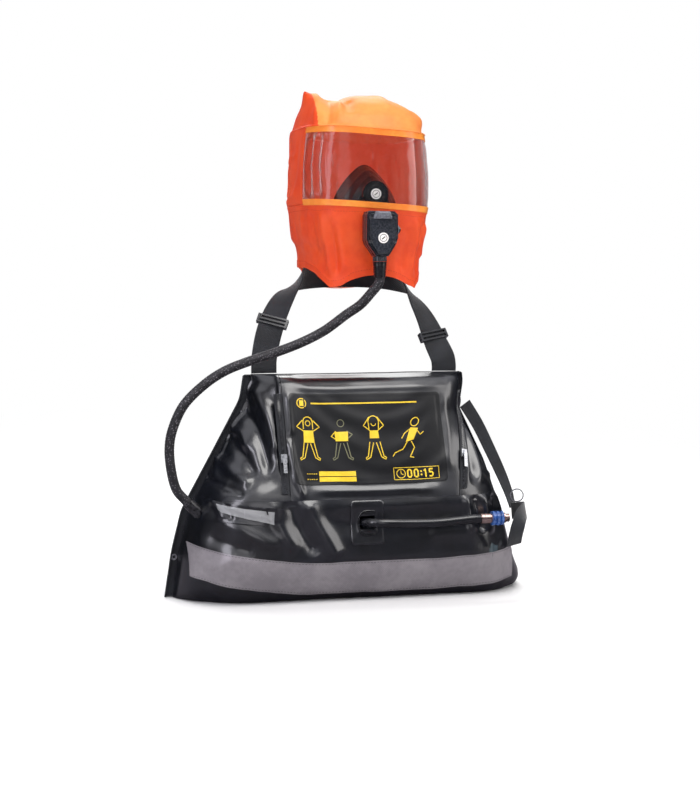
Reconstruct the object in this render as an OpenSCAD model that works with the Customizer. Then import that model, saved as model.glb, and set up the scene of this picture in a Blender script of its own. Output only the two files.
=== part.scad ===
// Emergency escape breathing set: an orange hood with a clear visor and an inner half mask,
// a lung-governed demand valve, an air hose, and a chest-worn bag that holds the air cylinder.
// Frame: +Z up, -Y is the front, +X is the wearer's left. The origin lies in the plane of the
// bag's back face, level with the bottom of the bag, under the neck axis.

/* [Fabric] */
// Thickness of the hood's coated fabric panels
hood_thick = 1.2; // [0.8:0.2:1.4]
// Thickness of the bag's coated fabric panels
bag_thick = 2.0; // [1.4:0.2:2.2]
// Thickness of the bag's flat back panel
back_thick = 1.8; // [1.2:0.2:1.8]

/* [Hood] */
// Height of the lower edge of the visor
visor_bottom = 562; // [560:1:564]
// Height of the upper edge of the visor
visor_top = 674; // [670:1:676]
// Y position of the neck axis behind the bag's back face
neck_y = 60; // [58:1:62]

/* [Air cylinder] */
// Outer radius of the cylinder
tank_radius = 50; // [46:1:50]
// Half of the length of the cylinder's straight wall
tank_half = 150; // [140:2:150]
// Wall thickness of the cylinder
tank_wall = 4; // [3:0.5:5]

/* [Hoses] */
// Outer diameter of the braided supply hose
hose_diameter = 14; // [11:0.5:14]
// Outer diameter of the airline hose
airline_diameter = 13; // [11:0.5:13]

/* [Webbing] */
// Width of the neck strap
strap_width = 38; // [30:1:38]
// Thickness of the webbing
strap_thick = 2.4; // [1.6:0.2:2.6]

/* [Demand valve] */
// Half width of the demand valve's case
case_half = 23; // [22:0.5:24]
// Radius of the purge button
purge_radius = 7.5; // [6.5:0.5:8]
// Running clearance between a moving part and its bore
run_gap = 0.06; // [0.05:0.01:0.1]

/* [Hidden] */
$fn = 48;

// ---------- generic shapes ----------
function unit(v) = v / max(norm(v), 1e-9);
function mix(a, b, t) = a + (b - a) * t;
function quad(a, b, c, d) = [[a, b, c], [a, c, d]];

// A closed solid between an outer and an inner grid of points; wrap joins the last column
// to the first.
module thick_sheet(outer, inner, wrap = false) {
  rows = len(outer);
  cols = len(outer[0]);
  n = rows * cols;
  last = n - cols;
  spans = [for (c = [0:(wrap ? cols : cols - 1) - 1]) [c, (c + 1) % cols]];
  faces = concat(
    [for (r = [0:cols:last - 1], s = spans)
      each quad(r + s[0], r + s[1], r + cols + s[1], r + cols + s[0])],
    [for (r = [n:cols:n + last - 1], s = spans)
      each quad(r + s[0], r + cols + s[0], r + cols + s[1], r + s[1])],
    [for (s = spans) each quad(s[0], n + s[0], n + s[1], s[1])],
    [for (s = spans) each quad(last + s[0], last + s[1], n + last + s[1], n + last + s[0])],
    wrap ? [] : [for (a = [0:cols:last - 1]) each quad(a, a + cols, n + a + cols, n + a)],
    wrap ? [] : [for (a = [cols - 1:cols:last - 1]) each quad(a, n + a, n + a + cols, a + cols)]
  );
  polyhedron(points = concat([for (r = outer) each r], [for (r = inner) each r]),
    faces = faces, convexity = 8);
}

// A solid through rings of points, closed with a fan at each end.
module loft(rings) {
  sides = len(rings[0]);
  last = (len(rings) - 1) * sides;
  faces = concat(
    [for (r = [0:sides:last - 1], c = [0:sides - 1]) let (d = (c + 1) % sides)
      each quad(r + c, r + d, r + sides + d, r + sides + c)],
    [for (c = [1:sides - 2]) [0, c + 1, c]],
    [for (c = [1:sides - 2]) [last, last + c, last + c + 1]]
  );
  polyhedron(points = [for (r = rings) each r], faces = faces, convexity = 8);
}

// Catmull-Rom curve through points, with a number of steps between each pair.
function catmull_rom(p0, p1, p2, p3, t) = 0.5 * ((2*p1) + (p2 - p0)*t
  + (2*p0 - 5*p1 + 4*p2 - p3)*t*t + (3*p1 - p0 - 3*p2 + p3)*t*t*t);
function curve(points, steps) = let (n = len(points)) concat(
  [for (i = [0:n - 2]) for (j = [0:steps - 1])
    catmull_rom(points[max(i - 1, 0)], points[i], points[i + 1], points[min(i + 2, n - 1)],
      j / steps)],
  [points[n - 1]]);
function unit_curve(points, steps) = [for (v = curve(points, steps)) unit(v)];
function tangent(path, i) = unit(path[min(i + 1, len(path) - 1)] - path[max(i - 1, 0)]);

// A round hose along a path; ref is a direction the path never runs along.
module hose(path, radius, sides = 12, ref = [0, 1, 0]) {
  loft([for (i = [0:len(path) - 1])
    let (along = tangent(path, i), a = unit(cross(ref, along)), b = cross(along, a))
    [for (k = [0:sides - 1]) path[i] + radius * (cos(360*k/sides) * a + sin(360*k/sides) * b)]]);
}

// A coil spring from the origin up +Z.
module coil(radius, wire, height, sides = 6) {
  steps = 36; // three turns of twelve steps
  path = [for (i = [0:steps]) [radius*cos(30*i), radius*sin(30*i), height*i/steps]];
  hose(path, wire, sides, [0, 0, 1]);
}

// Unit directions across the width and out through the face of a ribbon
function ribbon_frame(path, normal, i) =
  let (along = tangent(path, i), across = unit(cross(normal, along)))
  [across, along, cross(along, across)];

// Flat webbing along a path, with an outward normal for each point.
module ribbon(path, normals, width, thick) {
  loft([for (i = [0:len(path) - 1])
    let (frame = ribbon_frame(path, normals[i], i), w = frame[0]*width/2, t = frame[2]*thick/2)
    [path[i] - w - t, path[i] + w - t, path[i] + w + t, path[i] - w + t]]);
}

// Rods and tubes along one axis; the first argument is the axis's place on the other two.
module rod_x(yz, radius, x0, x1) {
  translate([min(x0, x1), yz[0], yz[1]]) rotate([0, 90, 0])
    cylinder(r = radius, h = abs(x1 - x0));
}
module rod_y(xz, radius, y0, y1) {
  translate([xz[0], max(y0, y1), xz[1]]) rotate([90, 0, 0])
    cylinder(r = radius, h = abs(y1 - y0));
}
module rod_z(xy, radius, z0, z1) {
  translate([xy[0], xy[1], z0]) cylinder(r = radius, h = z1 - z0);
}
module tube_x(yz, outer, inner, x0, x1) {
  difference() {
    rod_x(yz, outer, x0, x1);
    rod_x(yz, inner, min(x0, x1) - 1, max(x0, x1) + 1);
  }
}
module tube_y(xz, outer, inner, y0, y1) {
  difference() {
    rod_y(xz, outer, y0, y1);
    rod_y(xz, inner, min(y0, y1) - 1, max(y0, y1) + 1);
  }
}

// ---------- hood ----------
inhale_axis = [0, 540]; // x, z
exhale_axis = [0, 582]; // x, z
port_radius = 12;       // outside of the inhale port

// Hood size by height: z, then half width, front y or back y
HOOD_WIDTH = [[430, 80], [480, 82], [530, 89], [570, 98], [620, 97], [660, 93], [676, 91],
  [700, 82], [715, 66], [726, 42], [731, 18]];
HOOD_FRONT = [[430, -58], [480, -60], [530, -62], [570, -64], [660, -64], [676, -63],
  [700, -48], [715, -26], [726, 4], [731, 30]];
HOOD_BACK = [[430, 146], [480, 150], [530, 166], [570, 184], [650, 190], [676, 188],
  [700, 174], [715, 150], [726, 118], [731, 84]];
// Lower edge of the skirt: angle, z
HEM = [[0, 478], [20, 478], [35, 472], [60, 454], [90, 446], [120, 454], [145, 472],
  [160, 478], [185, 476], [200, 469], [215, 458], [228, 449], [245, 452], [270, 466],
  [295, 452], [312, 447], [325, 456], [340, 470], [360, 478]];

function signed_pow(v, p) = sign(v) * pow(abs(v), p);
// Angle: 0 is +X, 90 is the back, 270 is the front. Inset moves the point inward.
function hood_point(angle, z, inset = 0) =
  let (half = lookup(z, HOOD_WIDTH) - inset,
    front = lookup(z, HOOD_FRONT) + inset,
    back = lookup(z, HOOD_BACK) - inset,
    s = signed_pow(sin(angle), 0.55),
    c = signed_pow(cos(angle), 0.5),
    y = neck_y + (s < 0 ? neck_y - front : back - neck_y) * s,
    narrowing = 1 - (s < 0 ? 0.06 : 0.2) * s * s)
  [half * c * narrowing, y, z];
// A panel over a grid of [angle, z]
module hood_sheet(grid, thick, wrap = false) {
  thick_sheet([for (row = grid) [for (p = row) hood_point(p[0], p[1])]],
    [for (row = grid) [for (p = row) hood_point(p[0], p[1], thick)]], wrap);
}
// A panel of the visor band between two angles
module hood_wall(angle0, angle1, thick) {
  rows = 4;
  cols = 30;
  hood_sheet([for (r = [rows:-1:0]) [for (c = [0:cols])
    [mix(angle0, angle1, c/cols), mix(visor_bottom + 0.5, visor_top + 0.4, r/rows)]]], thick);
}

module hood_crown() {
  n = 36;
  heights = [731, 726, 720, 712, 702, 690, visor_top + 1];
  function tip(drop) = [for (k = [0:n - 1]) [0.5*cos(360*k/n), 57 + 0.5*sin(360*k/n), 733 - drop]];
  // only the rows of the domed top drop
  function row(z, inset, drop) = [for (k = [0:n - 1]) let (p = hood_point(360*k/n, z, inset))
    [p[0], p[1], z - (z > 700 ? drop : 0)]];
  function skin(inset, drop) = concat([tip(drop)], [for (z = heights) row(z, inset, drop)]);
  color("orangered") thick_sheet(skin(0, 0), skin(hood_thick*1.3, hood_thick), true);
}
module hood_back() {
  color("orangered") hood_wall(-13, 193, hood_thick);
}
module visor() {
  color("aliceblue", 0.3) hood_wall(194, 346, 1.0);
}
module hood_skirt() {
  n = 72;
  rows = 6;
  color("orangered") difference() {
    hood_sheet([for (r = [rows:-1:0]) [for (k = [0:n - 1]) let (angle = 360*k/n)
      [angle, mix(lookup(angle, HEM), visor_bottom, r/rows)]]], hood_thick, true);
    rod_y(inhale_axis, port_radius + 0.6, -80, -40);
  }
}
module neck_seal() {
  n = 36;
  tilt = 6.5; // the seal runs a little lower at the front, under the mask
  // Sections: fraction of the way from the hood wall to the neck opening, z
  upper = [[0, 500], [0.3, 498.6], [0.7, 497.2], [0.96, 496.4], [1, 497.6], [1, 505]];
  lower = [[0, 498.6], [0.3, 497.2], [0.7, 495.8], [0.99, 495], [1.03, 496.6], [1.03, 505]];
  function seal_point(angle, part, z) =
    let (lift = tilt*sin(angle), wall = hood_point(angle, 500 + lift, hood_thick + 0.6))
    [mix(wall[0], 52*cos(angle), part), mix(wall[1], neck_y + 6 + 58*sin(angle), part), z + lift];
  function skin(section) = [for (p = section)
    [for (k = [n - 1:-1:0]) seal_point(360*k/n, p[0], p[1])]];
  color("dimgray") thick_sheet(skin(upper), skin(lower), true);
}

// ---------- half mask ----------
// Mask sections: y, half width, half height, centre z
MASK = [[8, 47, 61, 564], [2, 47.5, 61.5, 564], [-12, 44, 58, 563.5], [-26, 37, 51, 563],
  [-38, 29, 43, 562.5], [-46, 25, 38, 562]];
insert_back = -46.3; // y of the insert's back face
// Head strap from its end at the mask to just short of the back, on the +X side
HEAD_STRAP = [[53, -2, 546], [74, 18, 546], [82, 55, 547], [76, 100, 549], [48, 140, 551]];
function flip_x(p) = [-p[0], p[1], p[2]];

// Oval that narrows toward the top
function mask_oval(angle, half_width, half_height) =
  [half_width * cos(angle) * (1 - 0.42 * pow(max(sin(angle), 0), 1.6)), half_height * sin(angle)];
module half_mask() {
  n = 28;
  function skin(inset) = [for (m = MASK) [for (k = [0:n - 1])
    let (p = mask_oval(360*k/n, m[1] - inset, m[2] - inset)) [p[0], m[0], m[3] + p[1]]]];
  color("#202024") thick_sheet(skin(0), skin(2.4), true);
}
module mask_insert() {
  color("#18181a") difference() {
    union() {
      translate([0, insert_back, 562]) rotate([90, 0, 0]) linear_extrude(height = 2.7)
        polygon([for (k = [0:35]) mask_oval(10*k, 24, 37)]);
      rod_y(exhale_axis, 11, insert_back, -53);
      rod_y(inhale_axis, port_radius, insert_back, -76);
    }
    rod_y(exhale_axis, 9, -40, -60);
    rod_y(inhale_axis, port_radius - 2, -40, -80);
  }
}
module head_strap() {
  path = curve(concat([for (p = HEAD_STRAP) flip_x(p)], [[0, 156, 552]],
    [for (i = [len(HEAD_STRAP) - 1:-1:0]) HEAD_STRAP[i]]), 3);
  color("#26262a") ribbon(path, [for (p = path) unit([p[0], p[1] - neck_y, 0])], 18, 1.4);
}
module head_strap_clips() {
  end = HEAD_STRAP[0];
  color("#141416") for (s = [-1, 1])
    translate([s*end[0], end[1], end[2]]) rotate([0, 0, s*38]) translate([-s*4.7, 0, 0])
      cube([6.8, 3, 22], center = true);
}
module port_clamp_ring() {
  color("#101012") tube_y(inhale_axis, 16, port_radius + run_gap, -64.4, -68.6);
}
module exhale_housing() {
  color("#0c0c0e") difference() {
    union() {
      rod_y(exhale_axis, 19, -49.2, -57.6);
      rod_y(exhale_axis, 17.2, -57.6, -59.4);
    }
    rod_y(exhale_axis, 15.6, -51.2, -57.4);
    rod_y(exhale_axis, 11.1, -48, -52);
    for (a = [30:60:359]) rod_y(exhale_axis + 14*[cos(a), sin(a)], 2.2, -44, -56);
    rod_y(exhale_axis, 7.8, -58.6, -60); // recess for the badge
  }
}
module exhale_badge() {
  color("#e6e4e0") rod_y(exhale_axis, 7.6, -58.7, -59.7);
}
module exhale_disc() {
  color("#3c3c40") union() {
    rod_y(exhale_axis, 10.6, -53.1, -54);
    rod_y(exhale_axis, 3, -54, -54.6);
  }
}
module exhale_spring() {
  color("silver") translate([0, -54.45, exhale_axis[1]]) rotate([90, 0, 0])
    coil(radius = 5, wire = 0.35, height = 2.5);
}
module inhale_disc() {
  color("#3c3c40") union() {
    rod_y(inhale_axis, 9.6, -60, -61);
    rod_y(inhale_axis, 2.2, -57, -60);
  }
}

// ---------- demand valve ----------
diaphragm_axis = [0, 520];     // x, z
purge_axis = [0, 518];         // x, z
bypass_axis = [-89, 530];      // y, z
lever_pivot = [-84.6, 507];    // y, z
lever_foot = [-1.5, -85.3, 504.2];
inlet_axis = [0, -79];         // x, y
CASE_SCREWS = [[-18, 547], [18, 547], [-18, 513], [18, 513]]; // x, z
// Case outline: x, z
CASE = [[-case_half + 3, 556], [case_half - 5, 556], [case_half, 551], [case_half, 517],
  [case_half - 3, 509], [13, 498], [9, 492], [-9, 492], [-13, 498],
  [-case_half + 2, 509], [-case_half, 515], [-case_half, 551]];

// A slab of the case from y0 forward to y1, its outline shrunk toward its middle
module case_slab(y0, y1, shrink = 0) {
  middle = 524;
  translate([0, y0, 0]) rotate([90, 0, 0]) linear_extrude(height = y0 - y1)
    polygon([for (p = CASE)
      [p[0] * (1 - shrink/case_half), middle + (p[1] - middle) * (1 - shrink/30)]]);
}
module valve_case_rear() {
  shade = "#1c1d20";
  color(shade) difference() {
    union() {
      case_slab(-69, -83.8);
      rod_y(inhale_axis, 15.5, -68.8, -70);
    }
    rod_y(inhale_axis, port_radius + run_gap, -60, -76.2);
    rod_y(inhale_axis, 8, -76, -79);
    rod_y(diaphragm_axis, 17.5, -79, -90);
    rod_z(inlet_axis, 4, 480, 495);
    rod_z(inlet_axis, 2.4, 490, 505.2);
    for (p = CASE_SCREWS) rod_y(p, 1.5, -76, -84);
  }
  // inlet spigot
  color(shade) difference() {
    rod_z(inlet_axis, 5 - run_gap, 485, 492.6);
    rod_z(inlet_axis, 4, 480, 495);
  }
  // lugs for the lever's pivot
  color(shade) for (s = [-1, 1]) difference() {
    translate([s*6.4 - 1, -86.1, 504.9]) cube([2, 7.5, 4.2]);
    rod_x(lever_pivot, 1 + run_gap, -9, 9);
  }
}
module valve_case_front() {
  color("#232428") difference() {
    union() {
      case_slab(-84, -93);
      case_slab(-93, -96, 2);
      case_slab(-96, -97.5, 5);
    }
    rod_y(diaphragm_axis, 17.5, -83, -91.5);
    rod_y(purge_axis, purge_radius + run_gap, -83, -99);
    rod_x(bypass_axis, 4.5 + run_gap, 12, 30);
    for (p = CASE_SCREWS) {
      rod_y(p, 1.6, -83, -99);
      rod_y(p, 2.9, -92, -99);
    }
  }
}
module case_screws() {
  color("#8a8c90") for (p = CASE_SCREWS) difference() {
    union() {
      rod_y(p, 1.4, -77, -93.4);
      rod_y(p, 2.7, -92.1, -93.8);
    }
    translate([p[0], -93.8, p[1]]) cube([4, 0.8, 0.7], center = true);
  }
}
module purge_button() {
  color("#dcdad6") union() {
    rod_y(purge_axis, purge_radius, -91, -98.6);
    rod_y(purge_axis, 9.5, -90.4, -91.4);
  }
}
module diaphragm() {
  color("#3a3a3e") union() {
    rod_y(diaphragm_axis, 16.8, -87.4, -88.2);
    rod_y(purge_axis, 6, -88, -90.2);
    tube_y(diaphragm_axis, 14.6, 12.8, -88, -89.2);
  }
}
module tilt_lever() {
  color("silver") union() {
    translate(lever_foot) cube([3, 0.8, 16.3]);
    rod_x(lever_pivot, 1, -7.2, 7.2);
    translate(lever_foot) cube([3, 5.8, 1.1]);
    rod_x([-86.1, 519.6], 1, -3, 3);
  }
}
module inlet_poppet() {
  color("goldenrod") union() {
    rod_z(inlet_axis, 1.6, 494, 504);
    rod_z(inlet_axis, 3.4, 492.2, 494.8);
  }
}
module poppet_spring() {
  color("silver") translate([inlet_axis[0], inlet_axis[1], 486.8])
    coil(radius = 2.4, wire = 0.3, height = 4.2, sides = 5);
}
module bypass_button() {
  color("#3b4048") union() {
    rod_x(bypass_axis, 4.5, 18.2, 26);
    rod_x(bypass_axis, 3.2, 26, 27.2);
  }
}
module hose_swivel_nut() {
  color("#2a2a2e") translate([inlet_axis[0], inlet_axis[1], 485]) difference() {
    cylinder(r = 10.2, h = 6.6);
    // grip grooves
    for (k = [0:15]) rotate([0, 0, 22.5*k]) translate([10.9, 0, -1]) cylinder(r = 1.3, h = 9);
    translate([0, 0, -1]) cylinder(r = 5, h = 9);
  }
}

// Centre line of the supply hose, from the demand valve down into the bag
SUPPLY_HOSE = [[0, -79, 484.6], [0, -79, 474], [0, -79, 464], [0, -79, 458], [-3, -78.5, 451],
  [-12, -77, 440], [-27, -73, 423], [-48, -68, 408], [-78, -64, 386], [-112, -62, 369],
  [-150, -61, 355], [-188, -60, 343], [-222, -60, 330], [-252, -60, 311], [-281, -60, 283],
  [-297, -59, 250], [-302, -57, 221], [-299, -54, 189], [-291, -47, 162], [-278, -43, 146],
  [-262, -43, 130], [-250, -43, 117], [-243, -42.5, 102], [-243, -42, 86]];
module hose_boot() {
  color("#17171a") difference() {
    translate([inlet_axis[0], inlet_axis[1], 462]) cylinder(r1 = 8.6, r2 = 10.4, h = 22.6);
    rod_z(inlet_axis, hose_diameter/2 + 0.3, 461, 486);
  }
}
module supply_hose() {
  color("#2b2a2d") hose(curve(SUPPLY_HOSE, 2), hose_diameter/2);
}

// ---------- bag surface ----------
// Side edges of the back panel, on the wearer's right and left: z, x
BACK_RIGHT = [[0, -302], [66, -292], [127, -277], [214, -229], [286, -190], [325, -184]];
BACK_LEFT = [[0, 238], [15, 243], [59, 226], [121, 210], [187, 186], [269, 146], [307, 152],
  [325, 150]];
// Front profile from bottom to top: s (station along the profile), depth, z
PROFILE = [[0, 4, 3.2], [0.08, 30, 0.8], [0.17, 62, 0], [0.27, 88, 6], [0.38, 108, 21],
  [0.5, 120, 43], [0.6, 124, 62], [0.75, 121.5, 92], [0.88, 116, 120], [1, 110, 148],
  [1.02, 109, 151.5], [1.7, 57.5, 298], [1.78, 50, 312], [1.85, 42, 318.5],
  [1.93, 25, 321.5], [2, 8, 322]];
DEPTH_AT = [for (p = PROFILE) [p[0], p[1]]];
Z_AT = [for (p = PROFILE) [p[0], p[2]]];
// The stretch of the profile that z can be turned back into s
STATION_AT = [for (i = [3:12]) [PROFILE[i][2], PROFILE[i][0]]];
// Rows of the panels below and above the front seam, as stations
LOWER_ROWS = [0, 0.04, 0.08, 0.17, 0.22, 0.27, 0.325, 0.38, 0.44, 0.5, 0.55, 0.6, 0.68, 0.75,
  0.88, 1];
UPPER_ROWS = [1.02, 1.2, 1.36, 1.5, 1.5654, 1.63, 1.7, 1.74, 1.78, 1.815, 1.85, 1.93, 2];
flange = 4; // depth of the bag at its side seams

function height(s) = lookup(s, Z_AT);
function station(z) = lookup(z, STATION_AT);
function seam_right(z) = lookup(z, BACK_RIGHT) + 11; // inner edge of the right seam flange
function seam_left(z) = lookup(z, BACK_LEFT) - 5;    // inner edge of the left seam flange
// Fullness across the bag, from 0 at the seams to 1 in the middle
function puff(u) = pow(max(1 - pow(abs(2*u - 1), 8), 0), 0.7);
// Point on the bag's front at x and station s, lifted off along the surface normal
function bag_point(x, s, lift) =
  let (e = 0.02,
    depth_step = lookup(s + e, DEPTH_AT) - lookup(s - e, DEPTH_AT),
    z_step = height(s + e) - height(s - e),
    l = norm([depth_step, z_step]),
    z = height(s),
    full = puff((x - seam_right(z)) / (seam_left(z) - seam_right(z))))
  [x,
    -(flange + (lookup(s, DEPTH_AT) - flange) * full) - lift * (z_step/l * full + (1 - full)),
    z - lift * depth_step/l * full];
// A sheet over a grid of [x, s], between two lifts off the bag's surface
module bag_sheet(grid, outer, inner, wrap = false) {
  thick_sheet([for (row = grid) [for (p = row) bag_point(p[0], p[1], outer)]],
    [for (row = grid) [for (p = row) bag_point(p[0], p[1], inner)]], wrap);
}
// A patch on the front of the bag; xs and zs are its [low, high] limits
module front_patch(xs, zs, outer, inner, rows, cols) {
  bag_sheet([for (r = [0:rows]) let (s = station(mix(zs[0], zs[1], r/rows)))
    [for (c = [0:cols]) [mix(xs[0], xs[1], c/cols), s]]], outer, inner);
}
function ease(t) = (1 - cos(180*t)) / 2;

// ---------- bag panels ----------
flap_right = -138;                                      // right edge of the flap
function flap_left(s) = mix(112, 140, (s - 1.02)/0.98); // left edge of the flap
zip_zs = [156, 296];

// Places the opening where the supply hose enters the bag
module at_grommet() {
  translate([-262, -43, 130]) rotate([0, -45, 0]) children();
}
module bag_front_lower() {
  cols = 34;
  color("#1b1d22") difference() {
    bag_sheet([for (s = LOWER_ROWS) let (z = height(s)) [for (c = [0:cols])
      [mix(seam_right(z), seam_left(z), ease(c/cols)), s]]], 0, -bag_thick);
    translate([-38.6, -130, 104.6]) cube([21.2, 40, 19]); // airline hose opening
    at_grommet() cylinder(r = 9, h = 60, center = true);
  }
}
// Upper panel between the flap and a side seam
module bag_side(right) {
  cols = 12;
  gap = 0.8;
  // t runs from 0 at the flap to 1 at the seam
  function side_x(s, t) = mix(right ? flap_right - gap : flap_left(s) + gap,
    right ? seam_right(height(s)) : seam_left(height(s)), 1 - sin(90*(1 - t)));
  // columns always run toward +X
  order = right ? [cols:-1:0] : [0:cols];
  bag_sheet([for (s = UPPER_ROWS) [for (c = order) [side_x(s, c/cols), s]]], 0, -bag_thick);
}
module bag_side_right() {
  color("#1b1d22") bag_side(true);
}
module bag_side_left() {
  color("#1b1d22") bag_side(false);
}
module flap_panel() {
  cols = 12;
  color("#1f2126") bag_sheet([for (s = UPPER_ROWS) [for (c = [0:cols])
    [mix(flap_right, flap_left(s), c/cols), s]]], 0, -bag_thick);
}
module instruction_label() {
  color("#10141c") front_patch([-130, 97], [169, 297], 1.7, 0.9, rows = 8, cols = 12);
}
module zip_tapes() {
  color("#131417") union() {
    front_patch([flap_right - 12, flap_right - 1.2], zip_zs, 1.5, 0.3, rows = 5, cols = 3);
    // the left tape follows the slanting edge and narrows upward
    bag_sheet([for (r = [0:10]) let (s = station(mix(zip_zs[0], zip_zs[1], r/10)))
      [for (c = [0:4]) [flap_left(s) + 1.4 + c*mix(2.2, 1, (s - 1.02)/0.66), s]]], 2.2, 1.15);
  }
}

slider_s = station(205);
module zip_slider(x, lean, pitch, yaw, lift) {
  translate(bag_point(x, slider_s, lift))
    rotate([-pitch, 0, 0]) rotate([0, lean, 0]) rotate([0, 0, yaw]) union() {
      translate([-4.5, -3.2, -6]) cube([9, 3, 12]);        // body
      translate([-1.2, -5.4, -3]) cube([2.4, 2.4, 7]);     // bridge
      translate([-2.6, -6.4, -22]) cube([5.2, 1.4, 22]);   // pull
      translate([-2.6, -6.4, -3]) cube([5.2, 1.4, 3]);     // top of the pull
    }
}
module zip_slider_right() {
  color("#b9b9bd") zip_slider(flap_right - 6.6, lean = 0, pitch = 19.3, yaw = 0, lift = 2.6);
}
module zip_slider_left() {
  color("#b9b9bd")
    zip_slider(flap_left(slider_s) + 5.9, lean = 6.7, pitch = 26.5, yaw = 17, lift = 3);
}

// Upper edge of the reflective strip: level in the middle, rising to each side
function strip_top(x) = x < -100 ? 60 + 28 * pow((-100 - x)/190, 1.4)
  : x > 80 ? 60 + 8 * (x - 80)/150 : 60;
module reflective_strip() {
  cols = 32;
  rows = 12;
  height = 46;
  color("#8b888c") bag_sheet([for (r = [0:rows]) [for (c = [0:cols])
    let (x = mix(-270, 204, ease(c/cols)*0.5 + 0.5*c/cols), top = strip_top(x))
    [x, station(mix(top - height, top, r/rows))]]], 2.25, 1.42);
}
// Square frame around the airline hose opening
module hose_patch() {
  corners = [[-1, -1], [1, -1], [1, 1], [-1, 1]];
  n = 5; // points on each side
  function frame(half_x, half_z) = [for (e = [0:3]) for (k = [0:n - 1])
    let (q = mix(corners[e], corners[(e + 1) % 4], k/n))
    [-28 + half_x*q[0], station(114 + half_z*q[1])]];
  color("#17191d") bag_sheet([for (f = [0:0.5:1]) frame(mix(11.4, 24, f), mix(10.4, 31, f))],
    2.2, 0.7, true);
}

eyelet_axis = [-287.7, 58]; // x, z
module vent_eyelet() {
  color("silver") difference() {
    union() {
      rod_y(eyelet_axis, 2.9, -0.1, -2.4);
      rod_y(eyelet_axis, 4.6, -1.9, -2.7);
    }
    rod_y(eyelet_axis, 2.2, -5, 5);
  }
}
module hose_grommet() {
  color("#111113") at_grommet() difference() {
    translate([0, 0, -6]) cylinder(r = 8.8, h = 22);
    translate([0, 0, -12]) cylinder(r = 7.9, h = 40);
  }
}
module bag_back_panel() {
  zs = [0, 15, 30, 66, 100, 127, 170, 214, 250, 286, 306, 319.5];
  color("#22242a") difference() {
    rotate([90, 0, 0]) linear_extrude(height = back_thick)
      polygon(concat([for (z = zs) [lookup(z, BACK_RIGHT), z]],
        [for (i = [len(zs) - 1:-1:0]) [lookup(zs[i], BACK_LEFT), zs[i]]]));
    rod_y(eyelet_axis, 3, -5, 5);
  }
}
module back_pad() {
  color("#2c2e33") difference() {
    translate([-150, -8, 22]) cube([290, 5.9, 278]);
    for (x = [-60, 40]) for (z = [100, 180, 260]) translate([x, -9, z]) cube([4, 8, 40]);
  }
}

// ---------- air supply ----------
tank_y = -62;
tank_axis = [tank_y, 58];   // y, z
knob_axis = [-221, tank_y]; // x, y
pin_axis = [-242, tank_y];  // x, y
gauge_stem = [-203, -66];   // x, y
gauge_axis = [-203, 122];   // x, z
outlet_axis = [-243, -42];  // x, y

// Half outline of a cylinder with elliptical ends: radius, height
function tank_profile(radius, half, dome) = concat([[0, -half - dome]],
  [for (a = [-80:20:0]) [radius*cos(a), -half + dome*sin(a)]],
  [for (a = [0:20:80]) [radius*cos(a), half + dome*sin(a)]],
  [[0, half + dome]]);
module air_cylinder() {
  color("#3d4a52") translate([0, tank_axis[0], tank_axis[1]]) rotate([0, -90, 0]) difference() {
    union() {
      rotate_extrude() polygon(tank_profile(tank_radius, tank_half, 38));
      translate([0, 0, tank_half + 20]) cylinder(r = 16, h = 26);
    }
    rotate_extrude() polygon(tank_profile(tank_radius - tank_wall, tank_half, 34));
    translate([0, 0, tank_half + 10]) cylinder(r = 9, h = 60);
  }
}
module cylinder_bands() {
  color("#1a1b1e") for (x = [-95, 85])
    tube_x(tank_axis, tank_radius + 2, tank_radius + 0.3, x, x + 38);
}
module reducer_body() {
  color("#c6b27a") difference() {
    union() {
      rod_x(tank_axis, 21, -250, -tank_half - 46.4);
      rod_x(tank_axis, 9 - run_gap, -200, -tank_half - 20);
      rod_z(gauge_stem, 6, 74, 82);
      rod_z(outlet_axis, 7.2, 62, 76);
      rod_z(knob_axis, 8, 70, 84);
    }
    rod_x(tank_axis, 13 + run_gap, -252, -222);
    rod_x(tank_axis, 4, -225, -160);
    rod_z(knob_axis, 4 + run_gap, 72, 92);
    rod_z(pin_axis, 2.5 + run_gap, 73, 83);
    rod_z(gauge_stem, 3.9, 73, 93);
    rod_z(outlet_axis, 4, 66, 86);
  }
}
module reducer_cap() {
  color("#b8bcc0") difference() {
    union() {
      rod_x(tank_axis, 17, -256, -250.2);
      rod_x(tank_axis, 12.9, -250.4, -245);
      translate([-259.5, tank_axis[0], tank_axis[1]]) rotate([0, 90, 0])
        cylinder(r = 10, h = 4, $fn = 6);
    }
    rod_x(tank_axis, 8, -252, -240);
  }
}
module reducer_piston() {
  color("#9a9ea3") union() {
    rod_x(tank_axis, 13, -233, -226);
    rod_x(tank_axis, 4.6, -238, -233);
  }
}
module reducer_spring() {
  color("silver") translate([-234.4, tank_axis[0], tank_axis[1]]) rotate([0, -90, 0])
    coil(radius = 9, wire = 1.1, height = 8.8);
}
module valve_knob() {
  color("#1c5f36") translate([knob_axis[0], knob_axis[1], 0]) union() {
    translate([0, 0, 73]) cylinder(r = 4, h = 14);
    difference() {
      translate([0, 0, 86]) cylinder(r = 12, h = 14);
      for (k = [0:7]) rotate([0, 0, 45*k + 22.5])
        translate([13.6, 0, 85]) cylinder(r = 2.6, h = 16);
    }
  }
}
module fire_pin() {
  color("silver") union() {
    rod_z(pin_axis, 2.5, 74, 98);
    rod_z(pin_axis, 4, 79.2, 82.2);
    translate([pin_axis[0], pin_axis[1], 104]) rotate([90, 0, 0])
      rotate_extrude() translate([7, 0]) circle(r = 1, $fn = 24);
  }
}
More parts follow.
